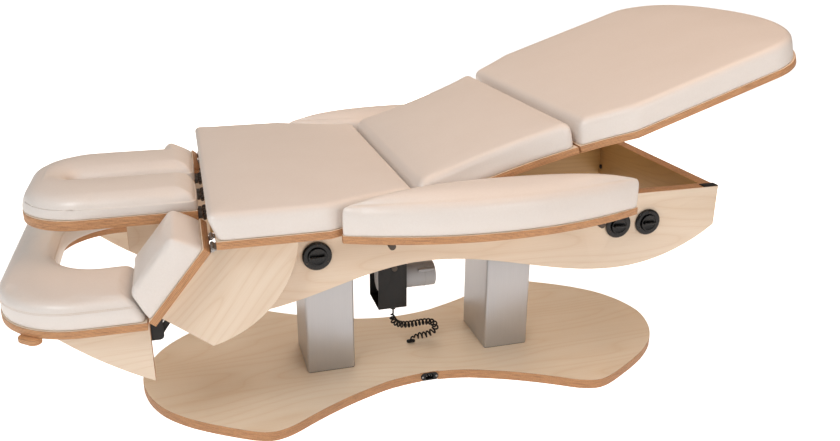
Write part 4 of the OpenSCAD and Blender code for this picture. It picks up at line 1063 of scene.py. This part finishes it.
def plan_runs(x0, x1, shift_x=0.0, step=0.01):
    """The outline of a section between two places, measured from its own hinge."""
    count = max(2, round((x1 - x0) / step))
    xs = [x0 + (x1 - x0) * i / count for i in range(count + 1)]
    near = [Vector((x, -half_at(x + shift_x))) for x in xs]
    far = [Vector((x, half_at(x + shift_x))) for x in reversed(xs)]
    return [near, [near[-1], far[0]], far, [far[-1], near[0]]]


def table_pad(name, body, node, runs, ends, leans, counts, place, degrees, height):
    """A pad over the outline's runs, leaned at its two ends and put on its board."""
    ring = ring_maker(runs, counts, table_corner)
    pad = model_pad(name, ring, counts, pad_height, table_crown, reshape=lean_ends(*ends, *leans))
    inflate(pad, table_cap)
    place_pad(pad, place, degrees, height)
    finish_pad(pad, body, node)


chest_ends, middle_ends = (-0.548, -0.087), (0.006, 0.430)
middle_hinge, leg_hinge, board_above_hinge = (-0.081, 0, 0.546), (0.327952, 0, 0.685219), 0.023
table_pad("chest_pad", "frame", "chest_cushion", plan_runs(*chest_ends), chest_ends,
          (-slope(20), -slope(3)), (38, 66), (0, 0, 0), 0, 0.569)
table_pad("middle_pad", "middle_section", "middle_cushion",
          plan_runs(*middle_ends, middle_hinge[0]), middle_ends,
          (slope(21.8), -slope(4)), (34, 60), middle_hinge, pad_tilt_degrees, board_above_hinge)

# %% [markdown]
# The leg pad starts on the waist's last bit of curve and ends in a flattened round, wider
# than a circle and softer than a box. A superellipse draws such a curve with one exponent.

# %% Leg pad
def leg_runs(start=0.002, straight=0.521, round_length=0.179, power=2 / 2.35):
    from_middle = 0.432 - 0.081
    xs = [start + (straight - start) * i / 52 for i in range(53)]
    near = [Vector((x, -half_at(x + from_middle))) for x in xs]
    end = [Vector((straight + round_length * 0.985 * math.cos(a) ** power,
                   half_width * math.copysign(abs(math.sin(a)) ** power, a)))
           for a in (math.radians(d) for d in range(-90, 91, 3)) if abs(a) <= quarter]
    far = [Vector((p.x, -p.y)) for p in reversed(near)]
    end[0], end[-1] = near[-1].copy(), far[0].copy()
    return [near, end, far, [far[-1], near[0]]]


table_pad("leg_pad", "leg_section", "leg_cushion", leg_runs(), (0.002, 0.7), (slope(11.2), 0),
          (52, 66), leg_hinge, pad_tilt_degrees, board_above_hinge)

# %% [markdown]
# ## Arm pads
# Two narrower pads lead down from the chest to the arm shelf, a little thicker and with a
# tighter edge than the table's own. They could be made one by one, but both sides are alike,
# so one is made, copied and mirrored. A mirrored mesh is inside out, and is flipped back.

# %% Arm pads
def mirror(pad):
    pad.data.transform(Matrix.Diagonal((1, -1, 1, 1)))
    pad.data.flip_normals()


def arm_pads(x0=-0.20838, x1=-0.006, inner=0.217, outer=0.418, height=0.069, counts=(20, 20)):
    corners = [Vector(p) for p in ((x0, inner), (x1, inner), (x1, outer), (x0, outer))]
    runs = [[corners[i], corners[(i + 1) % 4]] for i in range(4)]
    near = model_pad("arm_pads", ring_maker(runs, counts, 0.010), counts, height, 0.005,
                     pad_section(height, 0.011, 0.003),
                     reshape=lean_ends(x0, x1, slope(25.5), slope(10.5)))
    inflate(near, small_cap)
    far = copy_of(near)
    mirror(far)
    pads = join([near, far], "arm_pads")
    place_pad(pads, (-0.556, 0, 0.550), arm_drop_degrees, 0.019)
    finish_pad(pads, "arms", "arm_cushions")


small_cap = 0.002      # the small covers may move less than the table's


arm_pads()

# %% [markdown]
# ## Face rest and arm shelf
# Both are horseshoes: a strip of pad bent round an opening, for the face and for the arms. A
# hole could be cut through a plain pad, but its rim would have no rolled edge. Instead the
# outline is two nested U shapes, joined by the two short ends at the table, and the same
# section runs round all of it.

# %% Horseshoe pads
def u_line(foot, head, half, radius, step=0.01):
    """A U that opens towards the foot end, from its near tip round to its far one."""
    straight = foot - head - radius
    count = max(2, round(straight / step))
    line = [Vector((foot - straight * i / count, -half)) for i in range(count)]
    arc = max(8, round(radius * quarter / step))
    line += [Vector((head + radius - radius * math.sin(quarter * i / arc),
                     -half + radius - radius * math.cos(quarter * i / arc))) for i in range(arc)]
    flat = half - radius
    if flat > 0.001:
        line += [Vector((head, -flat))]
    mirrored = [Vector((p.x, -p.y)) for p in reversed(line)]
    if flat <= 0.001:
        line.append(Vector((head, 0)))
    return line + mirrored


def horseshoe_ring(outer, inner, counts, corner):
    outside, inside = u_line(*outer), u_line(*inner)
    runs = [outside[::-1], [outside[0], inside[0]], inside, [inside[-1], outside[-1]]]
    return ring_maker(runs, counts, corner)


def horseshoe(name, body, node, outer, inner, counts, corner, height, section, reshape, board_top):
    ring = horseshoe_ring(outer, inner, counts, corner)
    pad = model_pad(name, ring, counts, height, 0.005, section, reshape=reshape)
    inflate(pad, small_cap)
    place_pad(pad, (0, 0, 0), 0, board_top)
    finish_pad(pad, body, node)


# An outline is given by its foot end, its head end, half its width and its corner radius.
face_foot, face_head, face_height = -0.573, -0.980, 0.054
horseshoe("face_pad", "face_rest", "face_cushion", (face_foot, face_head, 0.208, 0.152),
          (face_foot, -0.884, 0.030, 0.030), (108, 18), 0.010, face_height,
          pad_section(face_height, 0.033, 0.003),
          lean_ends(face_head, face_foot, slope(16), slope(14)), 0.572)

shelf_foot, shelf_head, shelf_corner, shelf_top = -0.704547, -1.021547, 0.012, 0.398459
shelf_outer = (shelf_foot, shelf_head, 0.415, 0.190)
shelf_inner = (shelf_foot, -0.917, 0.213, 0.147)
shelf_section = pad_section(pad_height)
shelf_lean = lean_ends(shelf_head, shelf_foot, 0, slope(25.5))
horseshoe("shelf_pad", "arm_shelf", "shelf_cushion", shelf_outer, shelf_inner, (140, 18),
          shelf_corner, pad_height, shelf_section, shelf_lean, shelf_top)

# %% [markdown]
# ## Armrests
# Each armrest is a lens: its inner edge follows the waist, its outer edge bulges, and it
# narrows to blunt tips. Offsetting such an outline would make it cross itself at the tips,
# so these pads get a ring of their own, measured across the pad, whose rounding shrinks with
# the width. The tips also sink a little, as the cover is pulled down there.

# %% Armrest pads
rest_half, rest_out = 0.368, 0.508
rest_in_r = waist_r - 0.010


def rest_inner(x):
    return waist_y - math.sqrt(rest_in_r ** 2 - x ** 2)


rest_sag = rest_out - rest_inner(rest_half) - 0.014
rest_out_r = (rest_half ** 2 + rest_sag ** 2) / (2 * rest_sag)


def rest_outer(x):
    return rest_out - rest_out_r + math.sqrt(rest_out_r ** 2 - x ** 2)


def rest_ring(counts, corner=0.006, soft=0.020, end_gap=0.001):
    """Rings measured across the lens; the inset scales with its width at each place."""
    def ring(inset):
        span = rest_half - end_gap - inset * 0.35      # the tips draw in less than the sides

        def edge(x, outer):
            low, high = rest_inner(x), rest_outer(x)
            scale = min(1, 0.42 * (high - low) / soft)
            left = max(0, span - abs(x))
            pulled = corner - math.sqrt(corner ** 2 - (corner - left) ** 2) if left < corner else 0
            gap = min(inset * scale + max(pulled, 0) * 0.6, (high - low) * 0.47)
            return Vector((waist_x + x, high - gap if outer else low + gap))

        xs = [span * (2 * i / 80 - 1) for i in range(81)]
        inner = [edge(x, False) for x in xs]
        outer = [edge(x, True) for x in reversed(xs)]
        runs = [inner, [inner[-1], outer[0]], outer, [outer[-1], inner[0]]]
        return [even(run, counts[i % 2]) for i, run in enumerate(runs)]
    return ring


def settle_tips(p):
    share = (p.x - waist_x) / rest_half
    drop = 0.012 if share < 0 else 0.004
    return Vector((p.x, p.y, p.z - drop * share ** 2 * min(1, p.z / 0.04)))


def armrest_pad(name, body, node, side):
    counts = (72, 12)
    pad = model_pad(name, rest_ring(counts), counts, 0.076, 0.021, reshape=settle_tips)
    inflate(pad, small_cap)
    if side < 0:
        mirror(pad)
    place_pad(pad, (0, 0, 0), 0, 0.561)
    finish_pad(pad, body, node)


armrest_pad("near_armrest_pad", "near_armrest", "near_armrest_cushion", -1)
armrest_pad("far_armrest_pad", "far_armrest", "far_armrest_cushion", 1)

# %% [markdown]
# ## Stitching on the arm shelf
# The cover of the shelf pad is sewn along its side with a double row of stitches just under
# the shoulder, and again inside the opening. A bump could only suggest them, and they show in
# profile, so each stitch is a small capsule of a few faces, repeated along the pad's own
# section, so that the thread lies on the leather.

# %% Sew the seams
thread = hard("ivory thread", srgb(226, 208, 190), 0.6, tone=0.35, bump=0.2)


def side_line(ring, run, height, section, reshape, out):
    """A run of the pad's outline at a height on its side, moved outwards a little."""
    inset = next(a + (b - a) * (height - low) / (high - low) for (a, low), (b, high)
                 in zip(section, section[1:]) if low <= height <= high)
    line = ring(inset + 0.001 - out)[run]
    return [reshape(Vector((p.x, p.y, height))) for p in line]


def stitch_row(line, pitch, length, radius, sides=6):
    """Capsules of four rings along a line."""
    verts, faces = [], []
    at, total = walker(line)
    for k in range(int(total / pitch)):
        a, b = at(k * pitch), at(k * pitch + length)
        way = (b - a).normalized()
        side = way.cross(Vector((0, 0, 1))).normalized()
        up = side.cross(way)
        start = len(verts)
        for share, size in ((0, 0.35), (0.2, 1), (0.8, 1), (1, 0.35)):
            for j in range(sides):
                turn = math.tau * j / sides
                verts.append(a.lerp(b, share)
                             + radius * size * (math.cos(turn) * side + math.sin(turn) * up))
        rings = [[start + sides * r + j for j in range(sides)] for r in range(4)]
        for low, high in zip(rings, rings[1:]):
            faces += [(low[j], low[(j + 1) % sides], high[(j + 1) % sides], high[j])
                      for j in range(sides)]
        faces += [tuple(rings[0][::-1]), tuple(rings[3])]
    return verts, faces


def sew_shelf():
    ring = horseshoe_ring(shelf_outer, shelf_inner, (300, 18), shelf_corner)
    verts, faces = [], []
    for run in (0, 2):
        for height in (0.0395, 0.0425):
            line = side_line(ring, run, height, shelf_section, shelf_lean, 0.0019)
            more, sides = stitch_row(line, pitch=0.0048, length=0.0034, radius=0.00045)
            faces += [tuple(i + len(verts) for i in face) for face in sides]
            verts += more
    stitches = piece_from("shelf_stitches", verts, faces)
    smooth(stitches, 60)
    stitches.data.materials.append(thread)
    place_pad(stitches, (0, 0, 0), 0, shelf_top)
    hand_over(stitches, "arm_shelf", "upholstery")
    print(len(faces) // 20, "stitches")


sew_shelf()

# %% [markdown]
# ## Small hardware
# A bushed hole in the foot-end panel lets a cable through. It is small, but the eye looks for
# such things on real furniture. It is a short cylinder whose face is inset and sunk.

# %% Cable bush in the end panel
def model_bush(panel_inside=0.745, depth=0.003):
    ring = primitive("cylinder", "bush", vertices=48, radius=0.0075, depth=depth,
                     location=(panel_inside - depth / 2, 0.258, 0.449), rotation=(0, quarter, 0))
    pick_faces(ring, lambda c, n: n.x < -0.9)
    bpy.ops.mesh.inset(thickness=0.0028)
    bpy.ops.mesh.extrude_region_move(TRANSFORM_OT_translate={"value": (0.0022, 0, 0)})
    leave_edit()
    apply_modifier(ring, "BEVEL", width=0.0006, segments=3, limit_method="ANGLE")
    ring.name = "cable_bush"
    smooth(ring)
    ring.data.materials.append(black_plastic)
    hand_over(ring, "frame", "black_plastic")
    print("cable bush", len(ring.data.polygons), "faces")


model_bush()

# %% [markdown]
# Three pan-head screws hold each knob's flange. The cross recess is cut with a boolean, since
# two crossed slots are quicker to cut than to extrude, and the fine bevel after it keeps the
# cut edges from looking like paper.

# %% Screws in the knob flanges
def model_screw(name, place, way, radius, finish):
    """A pan-head screw with a cross recess, made upright and turned to face outwards."""
    head = primitive("cylinder", name, vertices=32, radius=radius, depth=radius * 0.7)
    pick_faces(head, lambda c, n: n.z > 0.9)
    bpy.ops.mesh.inset(thickness=radius * 0.3)
    bpy.ops.transform.translate(value=(0, 0, radius * 0.12))
    leave_edit()
    cutter = join([primitive("cube", "slot", size=1, location=(0, 0, radius * 0.5),
                             rotation=(0, 0, turn),
                             scale=(radius * 1.1, radius * 0.24, radius * 0.5))
                   for turn in (0, quarter)], "cutter")
    only(head)
    cut = head.modifiers.new("Cut", "BOOLEAN")
    cut.object, cut.operation, cut.solver = cutter, "DIFFERENCE", "EXACT"
    cut.use_self = True
    bpy.ops.object.modifier_apply(modifier=cut.name)
    bpy.data.objects.remove(cutter)
    apply_modifier(head, "BEVEL", width=radius * 0.06, segments=2, limit_method="ANGLE")
    turn = Vector((0, 0, 1)).rotation_difference(Vector(way)).to_matrix().to_4x4()
    head.data.transform(Matrix.Translation(place) @ turn)
    smooth(head)
    head.data.materials.append(finish)
    return head


def knob_screws(circle=0.0288, flange_face=-0.3163):
    screws = []
    for letter in "abc":
        low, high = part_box("knob_" + letter)
        middle = (low + high) / 2
        for degrees in (90, 210, 330):
            a = math.radians(degrees)
            place = (middle.x + circle * math.cos(a), flange_face, middle.z + circle * math.sin(a))
            screws.append(model_screw("screw", place, (0, -1, 0), 0.0021, dark_steel))
    print(len(screws), "screws")
    hand_over(join(screws, "knob_screws"), "frame", "fittings")


knob_screws()

# %% [markdown]
# ## Studio
# The table was photographed on white. A real backdrop would pick up shadows that the photo
# doesn't have, so the floor glows white, a little for the table and fully for the camera,
# and meets a surround that does the same.

# %% Floor
floor_glow = 0.42
floor = primitive("plane", "floor", size=60, location=(0, 0, 0))
pick_faces(floor, lambda c, n: True)
bpy.ops.mesh.subdivide(number_cuts=3)
leave_edit()
floor_paint, tree, shader = material("white floor", Roughness=0.9, Specular_IOR_Level=0.0)
seen = put(tree, "ShaderNodeLightPath", {})
glow = maths(tree, "MULTIPLY_ADD", seen.outputs["Is Camera Ray"], 1 - floor_glow, floor_glow)
tree.links.new(glow, shader.inputs["Emission Strength"])
haze = noise(tree, object_coordinates(tree), 0.7)
pale = mix(tree, haze, (0.95, 0.95, 0.95, 1), (0.97, 0.97, 0.97, 1))
tree.links.new(pale, shader.inputs["Base Color"])
tree.links.new(pale, shader.inputs["Emission Color"])
floor.data.materials.append(floor_paint)

# %% [markdown]
# Four soft lights stand round the table: a large cool one by the camera on the left, a weak
# one from the right, a warm one above, and a broad one behind that lights the base under the
# frame. Square area lights give the soft, even shading of a studio.

# %% Lights and surround
def soft_light(name, place, target, size, power, colour):
    """A square area light at a place, aimed at a target."""
    bpy.ops.object.select_all(action="DESELECT")
    bpy.ops.object.light_add(type="AREA", location=place)
    light = bpy.context.object
    light.name, light.data.size, light.data.energy, light.data.color = name, size, power, colour
    light.rotation_euler = (Vector(target) - Vector(place)).to_track_quat("-Z", "Y").to_euler()
    print(name, power, "W")
    return light


soft_light("key_light", (-3.3, -3.3, 4.2), (-0.1, 0, 0.5), 2.2, 138, (0.91, 0.965, 1.0))
soft_light("fill_light", (1.2, -3.6, 1.9), (0.25, 0, 0.05), 1.4, 25, (1.0, 0.98, 0.96))
soft_light("top_light", (0.6, -0.3, 3.2), (0, 0, 0.5), 2.4, 36, (1.0, 0.61, 0.36))
back_light = soft_light("back_light", (0.6, 3.4, 1.3), (0.1, 0, 0), 3.0, 80, (1.0, 0.88, 0.76))
back_light.visible_glossy = False      # it leaves no glare on the pads

world = bpy.data.worlds.new("studio")
bpy.context.scene.world = world
world.use_nodes = True
tree = world.node_tree
surround = tree.nodes["Background"]
surround.inputs["Color"].default_value = (1.0, 0.92, 0.85, 1)
surround.inputs["Strength"].default_value = 0.19
backdrop = put(tree, "ShaderNodeBackground", {"Color": (1, 1, 1, 1), "Strength": 1.0})
seen = tree.nodes.new("ShaderNodeLightPath")
blend = tree.nodes.new("ShaderNodeMixShader")
tree.links.new(seen.outputs["Is Camera Ray"], blend.inputs[0])
tree.links.new(surround.outputs[0], blend.inputs[1])
tree.links.new(backdrop.outputs[0], blend.inputs[2])
tree.links.new(blend.outputs[0], tree.nodes["World Output"].inputs["Surface"])
bpy.context.scene.view_settings.view_transform = "Standard"
